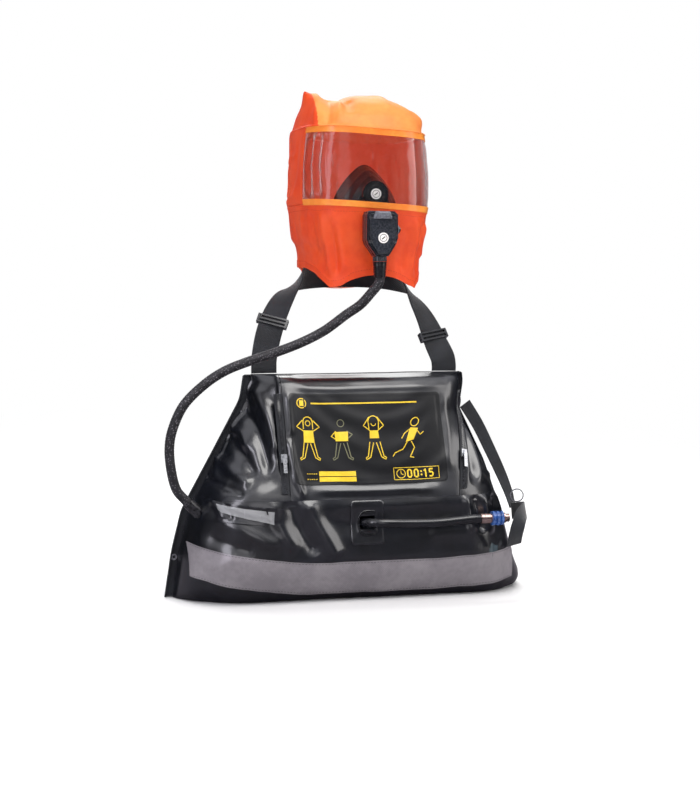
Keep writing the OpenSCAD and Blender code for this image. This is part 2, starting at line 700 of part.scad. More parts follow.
module pressure_gauge() {
  color("#cfcfd2") difference() {
    union() {
      rod_y(gauge_axis, 18, -84, -96);
      rod_y(gauge_axis, 3.2, -66, -85);
      rod_z(gauge_stem, 3.8, 74, 126.4);
    }
    rod_y(gauge_axis, 16, -91, -97);
    rod_y(gauge_axis, 1.5 + run_gap, -89, -92);
  }
}
module gauge_needle() {
  color("#c01818") union() {
    rod_y(gauge_axis, 1.5, -89.2, -93.6);
    translate([gauge_axis[0], -92.9, gauge_axis[1]]) rotate([0, 35, 0])
      translate([-0.5, -0.4, -4]) cube([1, 0.8, 16]);
  }
}
module gauge_window() {
  color("#15161a") front_patch([-244, -150], [118, 146], 2.6, 1.2, rows = 3, cols = 10);
}

// ---------- airline hose and coupling ----------
coupling_axis = [-131.5, 116]; // y, z
// Centre line of the airline hose, from inside the bag to the coupling
AIRLINE = [[-33, -92, 112], [-34, -103, 113], [-30, -114.4, 113.8], [-21, -125, 114.3],
  [-4, -131.6, 114.3], [30, -132, 113], [70, -132, 112.5], [102, -131.5, 114.4],
  [124, -131.5, 116], [135.5, -131.5, 116]];
module airline_hose() {
  color("#1d1e21") hose(curve(AIRLINE, 4), airline_diameter/2, ref = [0, 0, 1]);
}
module airline_coupling() {
  color("#c9a79c") difference() {
    union() {
      rod_x(coupling_axis, 7.4, 136.2, 150);
      rod_x(coupling_axis, 6.6, 150, 170);
      rod_x(coupling_axis, 7.6, 170, 173);
      rod_x(coupling_axis, 6, 173, 179);
    }
    rod_x(coupling_axis, 3, 135, 193);
  }
}
module coupling_sleeve() {
  color("#1f4fa0") difference() {
    union() {
      rod_x(coupling_axis, 9.2, 152.4, 169.6);
      for (x = [153, 159.4, 165.8]) rod_x(coupling_axis, 10.4, x, x + 3.4);
    }
    rod_x(coupling_axis, 6.6 + run_gap, 150, 175);
  }
}

// ---------- webbing ----------
// Neck strap from the bag's top right, round the neck, to its top left; then its normals
NECK_POINTS = [[-153.4, -1.4, 322.6], [-153.4, -1.4, 331], [-152, 2, 346], [-144, 11, 377],
  [-131, 24, 407], [-115, 37, 432], [-99, 51, 448], [-85, 72, 457], [-68, 99, 462],
  [-38, 119, 465], [0, 126, 466], [38, 119, 465], [66, 99, 461], [79, 73, 453], [86, 54, 440],
  [94, 39, 421], [104, 25, 396], [113, 10, 365], [120, 0, 344], [122, -1.4, 332],
  [122, -1.4, 322.4]];
NECK_NORMALS = [[0, -1, 0], [0, -1, 0], [-0.03, -1, 0.1], [-0.12, -0.92, 0.3],
  [-0.28, -0.75, 0.55], [-0.42, -0.5, 0.75], [-0.58, -0.15, 0.78], [-0.78, 0.25, 0.5],
  [-0.72, 0.65, 0.2], [-0.38, 0.92, 0.08], [0, 1, 0.05], [0.38, 0.92, 0.08],
  [0.72, 0.65, 0.2], [0.8, 0.2, 0.5], [0.68, -0.2, 0.7], [0.5, -0.6, 0.62],
  [0.35, -0.82, 0.4], [0.12, -0.98, 0.12], [0.03, -1, 0], [0, -1, 0], [0, -1, 0]];
neck_path = curve(NECK_POINTS, 3);
neck_normals = unit_curve(NECK_NORMALS, 3);

module neck_strap() {
  color("#191a1d") ribbon(neck_path, neck_normals, strap_width, strap_thick);
}
// A ladder adjuster that wraps the strap at one of the path's points
module adjuster(i) {
  f = ribbon_frame(neck_path, neck_normals[i], i);
  slot = strap_width + 1.6;
  multmatrix([for (k = [0:2]) [f[0][k], f[1][k], f[2][k], neck_path[i][k]]])
    difference() {
      translate([-strap_width/2 - 4, -7, -4]) cube([strap_width + 8, 14, 8]);
      translate([-slot/2, -8, -2.7]) cube([slot, 16, 5.4]);
      for (y = [-4.6, 1.4]) translate([-slot/2, y, -2.75]) cube([slot, 3.2, 8]);
    }
}
module strap_adjusters() {
  color("#0e0e10") {
    adjuster(11);
    adjuster(50);
  }
}
module side_strap() {
  points = [[152, -12, 273.5], [172, -13, 242], [192, -13, 203], [209, -16, 166],
    [219, -21.5, 138], [224, -26.5, 116]];
  normals = [[0.2, -0.97, 0.1], [0.25, -0.95, 0.1], [0.3, -0.93, 0.15], [0.4, -0.9, 0.15],
    [0.55, -0.82, 0.15], [0.7, -0.7, 0.1]];
  color("#222327") ribbon(curve(points, 3), unit_curve(normals, 3), 20, 2);
}
// A strap that holds the free end of the airline coupling
module coupling_tab() {
  points = [[219, -36, 112], [224, -62, 117], [219, -92, 121], [207, -120, 122],
    [195, -138, 116], [189, -143, 104], [187, -139, 90], [188, -130, 76]];
  normals = [[1, 0.05, 0], [1, 0.02, 0.1], [0.95, -0.25, 0.15], [0.85, -0.5, 0.25],
    [0.6, -0.7, 0.4], [0.3, -0.95, 0.1], [0.2, -0.96, -0.2], [0.2, -0.94, -0.3]];
  color("#222327") ribbon(curve(points, 3), unit_curve(normals, 3), 24, 2);
}
module split_ring() {
  color("silver") translate([206, -92, 143]) rotate([90, 0, -18]) difference() {
    cylinder(r = 10, h = 2);
    translate([0, 0, -1]) cylinder(r = 8.4, h = 4);
  }
}

hood_crown();
hood_back();
hood_skirt();
visor();
neck_seal();
half_mask();
mask_insert();
head_strap();
head_strap_clips();
port_clamp_ring();
exhale_housing();
exhale_badge();
exhale_disc();
exhale_spring();
inhale_disc();
valve_case_rear();
valve_case_front();
case_screws();
purge_button();
diaphragm();
tilt_lever();
inlet_poppet();
poppet_spring();
bypass_button();
hose_swivel_nut();
hose_boot();
supply_hose();
bag_back_panel();
back_pad();
bag_front_lower();
bag_side_right();
bag_side_left();
flap_panel();
instruction_label();
zip_tapes();
zip_slider_right();
zip_slider_left();
reflective_strip();
hose_patch();
vent_eyelet();
hose_grommet();
air_cylinder();
cylinder_bands();
reducer_body();
reducer_cap();
reducer_piston();
reducer_spring();
valve_knob();
fire_pin();
pressure_gauge();
gauge_needle();
airline_hose();
airline_coupling();
coupling_sleeve();
neck_strap();
strap_adjusters();
side_strap();
split_ring();
coupling_tab();
gauge_window();
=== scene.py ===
"""An escape breathing set: an orange hood with a clear visor above a black carrying bag.

+Z is up and the front faces -Y. -X is the wearer's right and +X the wearer's left.
The bag's back lies near y = 0 and its foot near z = 0; the hood's wall spans z = 440 to 731.
Lengths are in millimetres unless a comment says otherwise, and turn into metres on building.
"""

import itertools
import math

import bpy
import numpy as np
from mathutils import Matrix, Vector


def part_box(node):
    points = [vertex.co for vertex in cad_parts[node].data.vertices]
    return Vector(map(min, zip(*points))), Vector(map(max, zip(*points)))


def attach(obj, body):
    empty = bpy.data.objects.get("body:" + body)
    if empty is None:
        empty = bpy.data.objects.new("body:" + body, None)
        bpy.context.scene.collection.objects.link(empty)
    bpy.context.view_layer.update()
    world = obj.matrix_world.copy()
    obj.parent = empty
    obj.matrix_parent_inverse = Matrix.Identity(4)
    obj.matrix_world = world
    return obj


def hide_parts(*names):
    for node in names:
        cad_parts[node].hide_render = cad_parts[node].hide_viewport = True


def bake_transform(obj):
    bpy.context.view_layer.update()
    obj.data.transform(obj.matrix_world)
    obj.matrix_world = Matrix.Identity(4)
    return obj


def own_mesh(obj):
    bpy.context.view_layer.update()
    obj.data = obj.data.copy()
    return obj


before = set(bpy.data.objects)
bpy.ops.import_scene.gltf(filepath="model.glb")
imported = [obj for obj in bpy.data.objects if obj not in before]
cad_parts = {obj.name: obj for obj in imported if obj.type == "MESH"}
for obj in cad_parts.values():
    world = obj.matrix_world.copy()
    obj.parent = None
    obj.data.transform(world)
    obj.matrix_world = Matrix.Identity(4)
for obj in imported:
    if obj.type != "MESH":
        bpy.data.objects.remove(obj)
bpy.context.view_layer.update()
MM = 0.001


# ============================================================ small maths
def lookup(x, table):
    """Linear lookup in a table of (key, value) rows."""
    table = np.array(table, float)
    return np.interp(x, table[:, 0], table[:, 1])


def unit(v):
    v = np.asarray(v, float)
    return v / np.maximum(np.linalg.norm(v, axis=-1, keepdims=True), 1e-9)


def ease(low, high, x):
    """Smooth step from 0 at low to 1 at high."""
    t = np.clip((x - low) / (high - low), 0, 1)
    return t * t * (3 - 2 * t)


def fade_ends(t, start, end=None):
    """1 in the middle of t = 0..1, easing to 0 over the start and end lengths."""
    return ease(0, start, t) * ease(0, end or start, 1 - t)


def least(*values):
    """The smallest of several arrays, point by point."""
    smallest = values[0]
    for value in values[1:]:
        smallest = np.minimum(smallest, value)
    return smallest


def bell(x, width):
    return np.exp(-(x / width) ** 2)


def circle(count):
    """Evenly spaced angles round a full turn, in radians."""
    return np.linspace(0, 2 * np.pi, count + 1)[:-1]


def grid_params(rows, cols, low=0.0, high=1.0):
    """Row values low..high and column values 0..1, each as a (rows, cols) array."""
    return np.meshgrid(np.linspace(low, high, rows), np.linspace(0, 1, cols), indexing="ij")


def refine(rows, steps, wrap=False):
    """Catmull-Rom curve through the rows, with steps points per span."""
    rows = np.asarray(rows, float)
    n = len(rows)
    out = []
    for i in range(n if wrap else n - 1):
        near = [(i + j) % n if wrap else min(max(i + j, 0), n - 1) for j in (-1, 0, 1, 2)]
        before, start, end, after = (rows[k] for k in near)
        for j in range(steps):
            t = j / steps
            out.append(0.5 * (2 * start + (end - before) * t
                              + (2 * before - 5 * start + 4 * end - after) * t * t
                              + (3 * start - before - 3 * end + after) * t ** 3))
    if not wrap:
        out.append(rows[-1])
    return np.array(out)


def refine_grid(grid, wrap=False):
    """Doubles a grid (rows, cols, 3) both ways; wrap closes the columns."""
    grid = np.swapaxes(refine(grid, 2), 0, 1)
    return np.swapaxes(refine(grid, 2, wrap), 0, 1)


def grid_normals(grid, wrap=False):
    if wrap:
        across = np.roll(grid, -1, 1) - np.roll(grid, 1, 1)
    else:
        across = np.gradient(grid, axis=1)
    return unit(np.cross(across, np.gradient(grid, axis=0)))


def run_length(path):
    """Distance along a path at each of its points."""
    return np.concatenate([[0], np.cumsum(np.linalg.norm(np.diff(path, axis=0), axis=1))])


def sample(at, run, path):
    """The path's value where its run length is at."""
    return np.stack([np.interp(at, run, path[:, i]) for i in range(3)], -1)


HASH_PRIMES = np.array([374761393, 668265263, 2147483647], np.int64)


def noise(points, size, seed):
    """Smooth value noise of about -1..1 at points (..., 3), in two octaves."""
    points = np.asarray(points, float)
    total = np.zeros(points.shape[:-1])
    for octave, amount in enumerate((1.0, 0.5)):
        place = points / (size * amount) + 17.3 * seed + 5.1 * octave
        cell = np.floor(place).astype(np.int64)
        part = place - cell
        part = part * part * (3 - 2 * part)
        for corner in itertools.product((0, 1), repeat=3):
            mixed = ((cell + corner) * HASH_PRIMES).sum(-1) + seed * 974634777
            mixed = (mixed ^ (mixed >> 13)) * 1274126177
            mixed = (mixed ^ (mixed >> 16)) & 0xFFFF
            weight = np.where(corner, part, 1 - part).prod(-1)
            total = total + (mixed / 32767.5 - 1) * weight * amount
    return total / 1.5


def noise_flat(x, z, size, seed):
    """Noise over two coordinates."""
    return noise(np.stack([x, z, 0 * x], -1), size, seed)


def ridge(x, z, path, width, height):
    """Height of a soft fold along a polyline, tapering at both its ends."""
    nearest = np.full(np.shape(x), 1e9)
    along = np.zeros(np.shape(x))
    spans = len(path) - 1
    for i in range(spans):
        start = np.array(path[i], float)
        step = np.array(path[i + 1], float) - start
        t = ((x - start[0]) * step[0] + (z - start[1]) * step[1]) / (step @ step)
        t = np.clip(t, 0, 1)
        gap = np.hypot(x - start[0] - t * step[0], z - start[1] - t * step[1])
        closer = gap < nearest
        nearest = np.where(closer, gap, nearest)
        along = np.where(closer, (i + t) / spans, along)
    return height * bell(nearest, width) * fade_ends(along, 0.18)


def ridges(x, z, folds):
    """Sum of folds, each given as (width, height, point, point, ...)."""
    total = np.zeros(np.shape(x))
    for width, height, *path in folds:
        total = total + ridge(x, z, path, width, height)
    return total


# ============================================================ materials
class Shader:
    """Builds the node tree of a material or a world."""

    def __init__(self, owner, output="ShaderNodeOutputMaterial"):
        owner.use_nodes = True
        self.owner = owner
        self.tree = owner.node_tree
        self.tree.nodes.clear()
        self.output = self.node(output)

    def node(self, kind, inputs=None, **props):
        """A node with its inputs (by name or index) set to values or linked to sockets."""
        made = self.tree.nodes.new(kind)
        for key, value in props.items():
            setattr(made, key, value)
        for key, value in (inputs or {}).items():
            self.put(made.inputs[key], value)
        return made

    def put(self, socket, value):
        if isinstance(value, bpy.types.NodeSocket):
            self.tree.links.new(value, socket)
        elif socket.type == "RGBA":
            socket.default_value = (*value, 1)
        else:
            socket.default_value = value

    def finish(self, surface):
        self.put(self.output.inputs["Surface"], surface)
        return self.owner

    def math(self, operation, first, second=None):
        inputs = {0: first} if second is None else {0: first, 1: second}
        return self.node("ShaderNodeMath", inputs, operation=operation).outputs[0]

    def add(self, first, second):
        return self.math("ADD", first, second)

    def times(self, first, second):
        return self.math("MULTIPLY", first, second)

    def centred(self, value):
        return self.math("SUBTRACT", value, 0.5)

    def mix(self, factor, first, second):
        inputs = {0: factor, 6: first, 7: second}
        return self.node("ShaderNodeMix", inputs, data_type="RGBA").outputs[2]

    def blend(self, factor, first, second):
        return self.node("ShaderNodeMixShader", {0: factor, 1: first, 2: second}).outputs[0]

    def ramp(self, value, low, high, out_low=0.0, out_high=1.0):
        inputs = {0: value, 1: low, 2: high, 3: out_low, 4: out_high}
        return self.node("ShaderNodeMapRange", inputs,
                         interpolation_type="SMOOTHSTEP").outputs[0]

    def noise(self, vector, size_mm, detail=3, rough=0.55):
        inputs = {"Vector": vector, "Scale": 1 / (size_mm * MM), "Detail": detail,
                  "Roughness": rough}
        return self.node("ShaderNodeTexNoise", inputs).outputs["Fac"]

    def stretched(self, vector, scale):
        return self.node("ShaderNodeMapping", {"Vector": vector, "Scale": scale}).outputs[0]

    def wave(self, vector, period_mm, direction):
        inputs = {"Vector": vector, "Scale": 2 * math.pi / (20 * period_mm * MM),
                  "Distortion": 0.0}
        return self.node("ShaderNodeTexWave", inputs, wave_type="BANDS",
                         bands_direction=direction, wave_profile="SIN").outputs["Fac"]

    def bump(self, strength, distance, height):
        inputs = {"Strength": strength, "Distance": distance, "Height": height}
        return self.node("ShaderNodeBump", inputs).outputs[0]


def colour(text):
    """Linear colour from a hex string."""
    return tuple((int(text[i:i + 2], 16) / 255) ** 2.2 for i in (1, 3, 5))


def pbr(name, base, dark, rough=0.5, rough_vary=0.1, metal=0.0, coat=0.0, coat_rough=0.1,
        sheen=0.0, patch_mm=40, weave=None, weave_mm=0.8, grain_mm=0.0, grain=0.0, bump=0.3,
        wear=None, wear_amount=0.0, scratch=0.0, translucent=0.0, glow=None, wrinkle=0.0,
        speck=None, speck_mm=1.0, spec=0.5):
    """A surface mottled from dark to base in patches of patch_mm.

    weave ("plain" or "twill"), grain and wrinkle raise the bump height; wear is the colour
    of rubbed edges, speck the colour of dots, scratch streaks the roughness, and glow is
    the colour of the light let through by translucent.
    """
    sh = Shader(bpy.data.materials.new(name))
    coords = sh.node("ShaderNodeTexCoord")
    place = coords.outputs["Object"]
    coarse = sh.noise(place, patch_mm, 4)
    fine = sh.noise(place, patch_mm * 0.12, 3)
    mottle = sh.add(sh.times(coarse, 0.7), sh.times(fine, 0.3))
    tint = sh.mix(sh.ramp(mottle, 0.35, 0.65), colour(dark), colour(base))
    heights = []
    if weave:
        warp = sh.wave(coords.outputs["UV"], weave_mm, "DIAGONAL" if weave == "twill" else "X")
        cloth_height = sh.times(warp, sh.wave(coords.outputs["UV"], weave_mm, "Y"))
        heights.append(cloth_height)
        lighter = tuple(min(1, x * 1.6 + 0.01) for x in colour(base))
        tint = sh.mix(sh.times(cloth_height, 0.35), tint, sh.mix(0.5, tint, lighter))
    if speck:
        cells = sh.node("ShaderNodeTexVoronoi", {"Vector": place, "Scale": 1 / (speck_mm * MM)})
        dots = sh.math("LESS_THAN", cells.outputs["Distance"], 0.27)
        tint = sh.mix(sh.times(dots, 0.7), tint, colour(speck))
    if grain:
        heights.append(sh.times(sh.noise(place, grain_mm, 2, 0.6), grain))
    if wrinkle:
        creases = sh.math("ABSOLUTE", sh.centred(sh.noise(place, 14, 4, 0.65)))
        heights.append(sh.times(creases, wrinkle * 8))
    if wear:
        pointed = sh.node("ShaderNodeNewGeometry").outputs["Pointiness"]
        rubbed = sh.times(sh.ramp(fine, 0.4, 0.6), wear_amount)
        tint = sh.mix(sh.times(sh.ramp(pointed, 0.52, 0.60), rubbed), tint, colour(wear))
    roughness = sh.add(sh.times(sh.centred(fine), rough_vary * 2), rough)
    if scratch:
        streaks = sh.noise(sh.stretched(place, (1, 14, 1)), 3, 4, 0.7)
        roughness = sh.add(roughness, sh.times(sh.centred(streaks), scratch))
    body = sh.node("ShaderNodeBsdfPrincipled", {
        "Base Color": tint, "Metallic": metal, "IOR": 1.5, "Specular IOR Level": spec,
        "Roughness": roughness, "Coat Weight": coat, "Coat Roughness": coat_rough,
        "Sheen Weight": sheen, "Sheen Roughness": 0.4})
    if heights:
        height = heights[0]
        for extra in heights[1:]:
            height = sh.add(height, extra)
        sh.put(body.inputs["Normal"], sh.bump(bump, 0.0004, height))
    surface = body.outputs[0]
    if translucent:
        through = sh.node("ShaderNodeBsdfTranslucent", {"Color": colour(glow)}).outputs[0]
        surface = sh.blend(translucent, surface, through)
    return sh.finish(surface)


def film(name, tint, rough, haze):
    """Clear flexible film: see-through face on, milky at a glancing angle, softly creased, with
    white streaks up it painted on as highlights.
    """
    sh = Shader(bpy.data.materials.new(name))
    place = sh.node("ShaderNodeTexCoord").outputs["Object"]
    facing = sh.node("ShaderNodeLayerWeight", {0: 0.42}).outputs["Facing"]
    cloudy = sh.noise(place, 30, 4)
    painted_highlight_streak = sh.noise(sh.stretched(place, (1, 1, 0.12)), 6, 3)
    milkiness = sh.add(sh.times(sh.ramp(facing, 0.25, 1.0), 0.42), haze)
    # milky streaks up the film: painted highlights for the light caught along its folds
    milkiness = sh.add(milkiness, sh.times(sh.ramp(painted_highlight_streak, 0.58, 0.74), 0.07))
    milkiness = sh.add(milkiness, sh.times(sh.centred(cloudy), 0.05))
    milkiness = sh.math("MAXIMUM", milkiness, 0.004)
    clear = sh.node("ShaderNodeBsdfTransparent", {0: tint}).outputs[0]
    milk = sh.node("ShaderNodeBsdfPrincipled",
                   {"Base Color": (0.93, 0.94, 0.95), "Roughness": 0.35}).outputs[0]
    back = sh.node("ShaderNodeBsdfTranslucent", {0: (0.96, 0.97, 0.98)}).outputs[0]
    gloss = sh.node("ShaderNodeBsdfGlossy", {
        "Roughness": rough, "Color": (1, 1, 1),
        "Normal": sh.bump(0.35, 0.001, sh.noise(place, 9, 3))}).outputs[0]
    fresnel = sh.node("ShaderNodeFresnel", {0: 1.45}).outputs[0]
    sheet = sh.blend(milkiness, clear, sh.blend(0.45, milk, back))
    return sh.finish(sh.blend(sh.times(fresnel, 0.42), sheet, gloss))


ORANGE = pbr("hood_coated_fabric", "#f25a22", "#e2461a", rough=0.5, rough_vary=0.08, coat=0.08,
             coat_rough=0.35, patch_mm=55, weave="plain", weave_mm=0.9, bump=0.25, sheen=0.04,
             translucent=0.32, glow="#ff7a35", wrinkle=0.12)
# The hood's inside faces: its orange painted far paler, painted light for the light let in
# through the visor.
HOOD_INSIDE_PAINTED_LIGHT = pbr("hood_inside_painted_light", "#ffc2a8", "#f7ab8c", rough=0.6, patch_mm=40, weave="plain",
             weave_mm=0.9, bump=0.15, translucent=0.3, glow="#ff8a5a")
# The crown's orange, lighter than the hood's: painted light for the light falling on its top
# from the front.
CROWN_PAINTED_LIGHT = pbr("crown_fabric_painted_light", "#f8a24e", "#f2893a", rough=0.48, rough_vary=0.08, coat=0.2,
            coat_rough=0.35, patch_mm=60, weave="plain", weave_mm=0.9, bump=0.22, sheen=0.1,
            translucent=0.25, glow="#ffb060", wrinkle=0.12)
TAPE = pbr("hood_welded_tape", "#f79a3c", "#ef7f2c", rough=0.38, coat=0.35, coat_rough=0.2,
           patch_mm=30, grain_mm=1.2, grain=0.5, bump=0.2, translucent=0.12, glow="#ff8a45")
ORANGE_THREAD = pbr("orange_thread", "#c9471d", "#a83815", rough=0.7, patch_mm=5,
                    grain_mm=0.3, grain=1, bump=0.4)
COATED = pbr("bag_coated_fabric", "#12151d", "#0b0d12", rough=0.30, rough_vary=0.03, coat=0.6,
             coat_rough=0.15, patch_mm=70, weave="plain", weave_mm=1.1, bump=0.05,
             wrinkle=0.06, wear="#3a3c45", wear_amount=0.2, spec=0.8)
MATT = pbr("bag_back_fabric", "#22252b", "#17191e", rough=0.55, rough_vary=0.08, patch_mm=60,
           weave="plain", weave_mm=1.0, bump=0.35, wrinkle=0.12)
WEBBING = pbr("webbing_weave", "#1e2127", "#121419", rough=0.72, rough_vary=0.08, sheen=0.35,
              patch_mm=25, weave="twill", weave_mm=1.5, bump=0.8)
THREAD = pbr("black_thread", "#3a3c42", "#24262a", rough=0.7, patch_mm=4, grain_mm=0.3,
             grain=1, bump=0.4)
REFLECTIVE = pbr("reflective_tape", "#918c90", "#7d787d", rough=0.42, rough_vary=0.06,
                 metal=0.25, coat=0.3, coat_rough=0.25, patch_mm=60, weave="twill",
                 weave_mm=1.6, bump=0.2, wear="#5c585c", wear_amount=0.3)
LABEL = pbr("label_film", "#0b0d13", "#07090d", rough=0.36, rough_vary=0.03, coat=0.22,
            coat_rough=0.16, patch_mm=80, grain_mm=2.5, grain=0.2, bump=0.04, spec=0.35)
YELLOW_INK = pbr("yellow_print", "#f0cc2e", "#e2bb22", rough=0.42, coat=0.2, coat_rough=0.2,
                 patch_mm=18, grain_mm=0.5, grain=0.4, bump=0.15)
GREY_INK = pbr("grey_print", "#7b7a5c", "#66664c", rough=0.45, patch_mm=18, grain_mm=0.5,
               grain=0.4, bump=0.15)
RUBBER = pbr("mask_rubber", "#18181d", "#0f0f13", rough=0.30, rough_vary=0.07, coat=0.4,
             coat_rough=0.18, patch_mm=30, grain_mm=0.6, grain=0.4, bump=0.15,
             wear="#4b4a50", wear_amount=0.3)
SEAL = pbr("seal_rubber", "#45464a", "#343539", rough=0.6, patch_mm=30, grain_mm=0.7,
           grain=0.8, bump=0.3)
CASE = pbr("case_plastic", "#1e232c", "#151920", rough=0.34, rough_vary=0.06, coat=0.25,
           coat_rough=0.2, patch_mm=22, grain_mm=0.35, grain=0.3, bump=0.05,
           wear="#5e6068", wear_amount=0.3)
GLOSS = pbr("gloss_plastic_black", "#15161a", "#0d0e11", rough=0.16, rough_vary=0.05, coat=0.6,
            coat_rough=0.06, patch_mm=20, grain_mm=0.8, grain=0.3, bump=0.1,
            wear="#55565c", wear_amount=0.3)
LATCH = pbr("latch_plastic", "#6d6f78", "#54565f", rough=0.38, patch_mm=14, grain_mm=0.5,
            grain=0.8, bump=0.3, wear="#9a9ca4", wear_amount=0.5)
PALE = pbr("pale_badge", "#f6f3f0", "#e9e5e1", rough=0.32, coat=0.3, patch_mm=8, grain_mm=0.6,
           grain=0.5, bump=0.15)
MARK = pbr("badge_mark", "#5b5456", "#453f42", rough=0.5, patch_mm=5, grain_mm=0.4, grain=0.5,
           bump=0.15)
STEEL = pbr("steel", "#b9bbbf", "#94969b", rough=0.30, rough_vary=0.08, metal=1, patch_mm=14,
            grain_mm=0.4, grain=0.5, bump=0.15, scratch=0.2, wear="#dcdde0", wear_amount=0.4)
FERRULE = pbr("ferrule_metal", "#d9b9ae", "#b8958a", rough=0.22, rough_vary=0.08, metal=1,
              patch_mm=10, grain_mm=0.5, grain=0.5, bump=0.2, scratch=0.25,
              wear="#efe3df", wear_amount=0.4)
BRASS = pbr("brass", "#b99a5a", "#94783e", rough=0.32, metal=1, patch_mm=14, grain_mm=0.5,
            grain=0.5, bump=0.15, scratch=0.2)
CYLINDER = pbr("cylinder_paint", "#4b5960", "#3b484f", rough=0.4, coat=0.3, coat_rough=0.2,
               patch_mm=50, grain_mm=0.9, grain=0.8, bump=0.2, wear="#8d979b", wear_amount=0.4)
BLUE = pbr("blue_collar", "#24519c", "#193b78", rough=0.25, rough_vary=0.06, coat=0.5,
           coat_rough=0.1, patch_mm=12, grain_mm=0.5, grain=0.5, bump=0.15,
           wear="#7f9fd0", wear_amount=0.6)
GREEN = pbr("knob_plastic", "#1f6b3c", "#154d2a", rough=0.42, patch_mm=12, grain_mm=0.5,
            grain=0.9, bump=0.3, wear="#5f9c75", wear_amount=0.5)
FOAM = pbr("foam_pad_fabric", "#2a2c31", "#1e2024", rough=0.85, sheen=0.3, patch_mm=40,
           weave="plain", weave_mm=2.2, bump=0.8)
RED = pbr("needle_paint", "#c22018", "#9c1812", rough=0.4, patch_mm=4, grain_mm=0.3,
          grain=0.4, bump=0.1)
BRAID = pbr("braided_hose", "#26252a", "#151418", rough=0.55, rough_vary=0.1, sheen=0.15,
            patch_mm=12, weave="plain", weave_mm=1.9, bump=0.5, speck="#6e6a70", speck_mm=3.0)
AIRLINE = pbr("airline_hose", "#1c1d21", "#121316", rough=0.24, rough_vary=0.06, coat=0.45,
              coat_rough=0.12, patch_mm=30, grain_mm=0.8, grain=0.4, bump=0.12,
              wear="#4c4d52", wear_amount=0.3)
VISOR_FILM = film("visor_film", tint=(0.985, 0.988, 0.99), rough=0.06, haze=-0.02)
WINDOW_FILM = film("window_film", tint=(0.90, 0.90, 0.92), rough=0.12, haze=0.30)

# CAD pieces by material
CAD_MATERIALS = [
    (CASE, "mask_insert head_strap_clips port_clamp_ring valve_case_rear valve_case_front "
           "hose_swivel_nut"),
    (GLOSS, "exhale_housing bypass_button strap_adjusters"),
    (PALE, "exhale_badge purge_button"),
    (SEAL, "exhale_disc inhale_disc diaphragm"),
    (STEEL, "exhale_spring case_screws tilt_lever poppet_spring vent_eyelet reducer_cap "
            "reducer_piston reducer_spring fire_pin pressure_gauge split_ring "
            "zip_slider_right zip_slider_left"),
    (BRASS, "inlet_poppet reducer_body"),
    (RUBBER, "hose_grommet"),
    (CYLINDER, "air_cylinder"),
    (WEBBING, "cylinder_bands"),
    (GREEN, "valve_knob"),
    (RED, "gauge_needle"),
    (FERRULE, "airline_coupling"),
    (BLUE, "coupling_sleeve"),
]
for material, nodes in CAD_MATERIALS:
    for node in nodes.split():
        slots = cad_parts[node].data.materials
        slots.clear()
        slots.append(material)


# ============================================================ mesh helpers
def build(name, mesh, body, mat, smooth=True, sharp=38, replaces=None):
    verts, faces, uvs = mesh
    data = bpy.data.meshes.new(name)
    data.from_pydata([tuple(v) for v in (np.asarray(verts, float) * MM)], [],
                     [tuple(int(i) for i in f) for f in faces])
    data.validate()
    if uvs is not None:
        layer = data.uv_layers.new(name="UVMap")
        index = np.zeros(len(data.loops), np.int32)
        data.loops.foreach_get("vertex_index", index)
        loop_uvs = (np.asarray(uvs, float)[index] * MM).astype(np.float32)
        layer.data.foreach_set("uv", loop_uvs.ravel())
    if smooth:
        data.polygons.foreach_set("use_smooth", [True] * len(data.polygons))
        data.update()
        if sharp:
            data.set_sharp_from_angle(angle=math.radians(sharp))
    data.update()
    obj = bpy.data.objects.new(name, data)
    bpy.context.scene.collection.objects.link(obj)
    data.materials.append(mat)
    if body:
        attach(obj, body)
    if replaces:
        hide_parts(replaces)
    return obj


def grid_faces(rows, cols, wrap, offset=0, flip=False):
    faces = []
    for r in range(rows - 1):
        for c in range(cols if wrap else cols - 1):
            d = (c + 1) % cols
            this, above = offset + r * cols, offset + (r + 1) * cols
            quad = [this + c, this + d, above + d, above + c]
            faces.append(quad[::-1] if flip else quad)
    return faces


def uv_grid(across, along):
    return np.stack(np.broadcast_arrays(across, along[:, None]), -1).reshape(-1, 2)


def shell_faces(rows, cols, wrap):
    """Faces of an outer grid, then an inner grid, then the walls between their edges."""
    n = rows * cols
    faces = grid_faces(rows, cols, wrap) + grid_faces(rows, cols, wrap, n, True)
    last = (rows - 1) * cols
    for c in range(cols if wrap else cols - 1):
        d = (c + 1) % cols
        faces.append([c, n + c, n + d, d])
        faces.append([last + c, last + d, n + last + d, n + last + c])
    if not wrap:
        for r in range(rows - 1):
            a, b = r * cols, (r + 1) * cols
            faces.append([a, b, n + b, n + a])
            a += cols - 1
            b += cols - 1
            faces.append([a, n + a, n + b, b])
    return faces


def shell_mesh(grid, thick, wrap=False, normals=None):
    """A closed shell whose outer face is the grid, with the inner face thick behind it."""
    rows, cols = grid.shape[:2]
    if normals is None:
        normals = grid_normals(grid, wrap)
    inner = grid - normals * np.asarray(thick, float)[..., None]
    steps_across = np.linalg.norm(np.diff(grid, axis=1), axis=2)
    steps_along = np.linalg.norm(np.diff(grid, axis=0), axis=2)
    across = np.concatenate([np.zeros((rows, 1)), np.cumsum(steps_across, 1)], 1).mean(0)
    along = np.concatenate([np.zeros((1, cols)), np.cumsum(steps_along, 0)], 0).mean(1)
    uvs = uv_grid(across, along)
    verts = np.concatenate([grid.reshape(-1, 3), inner.reshape(-1, 3)])
    return verts, shell_faces(rows, cols, wrap), np.concatenate([uvs, uvs])


def shell(name, grid, thick, body, mat, wrap=False, replaces=None, normals=None):
    return build(name, shell_mesh(grid, thick, wrap, normals), body, mat,
                 replaces=replaces)


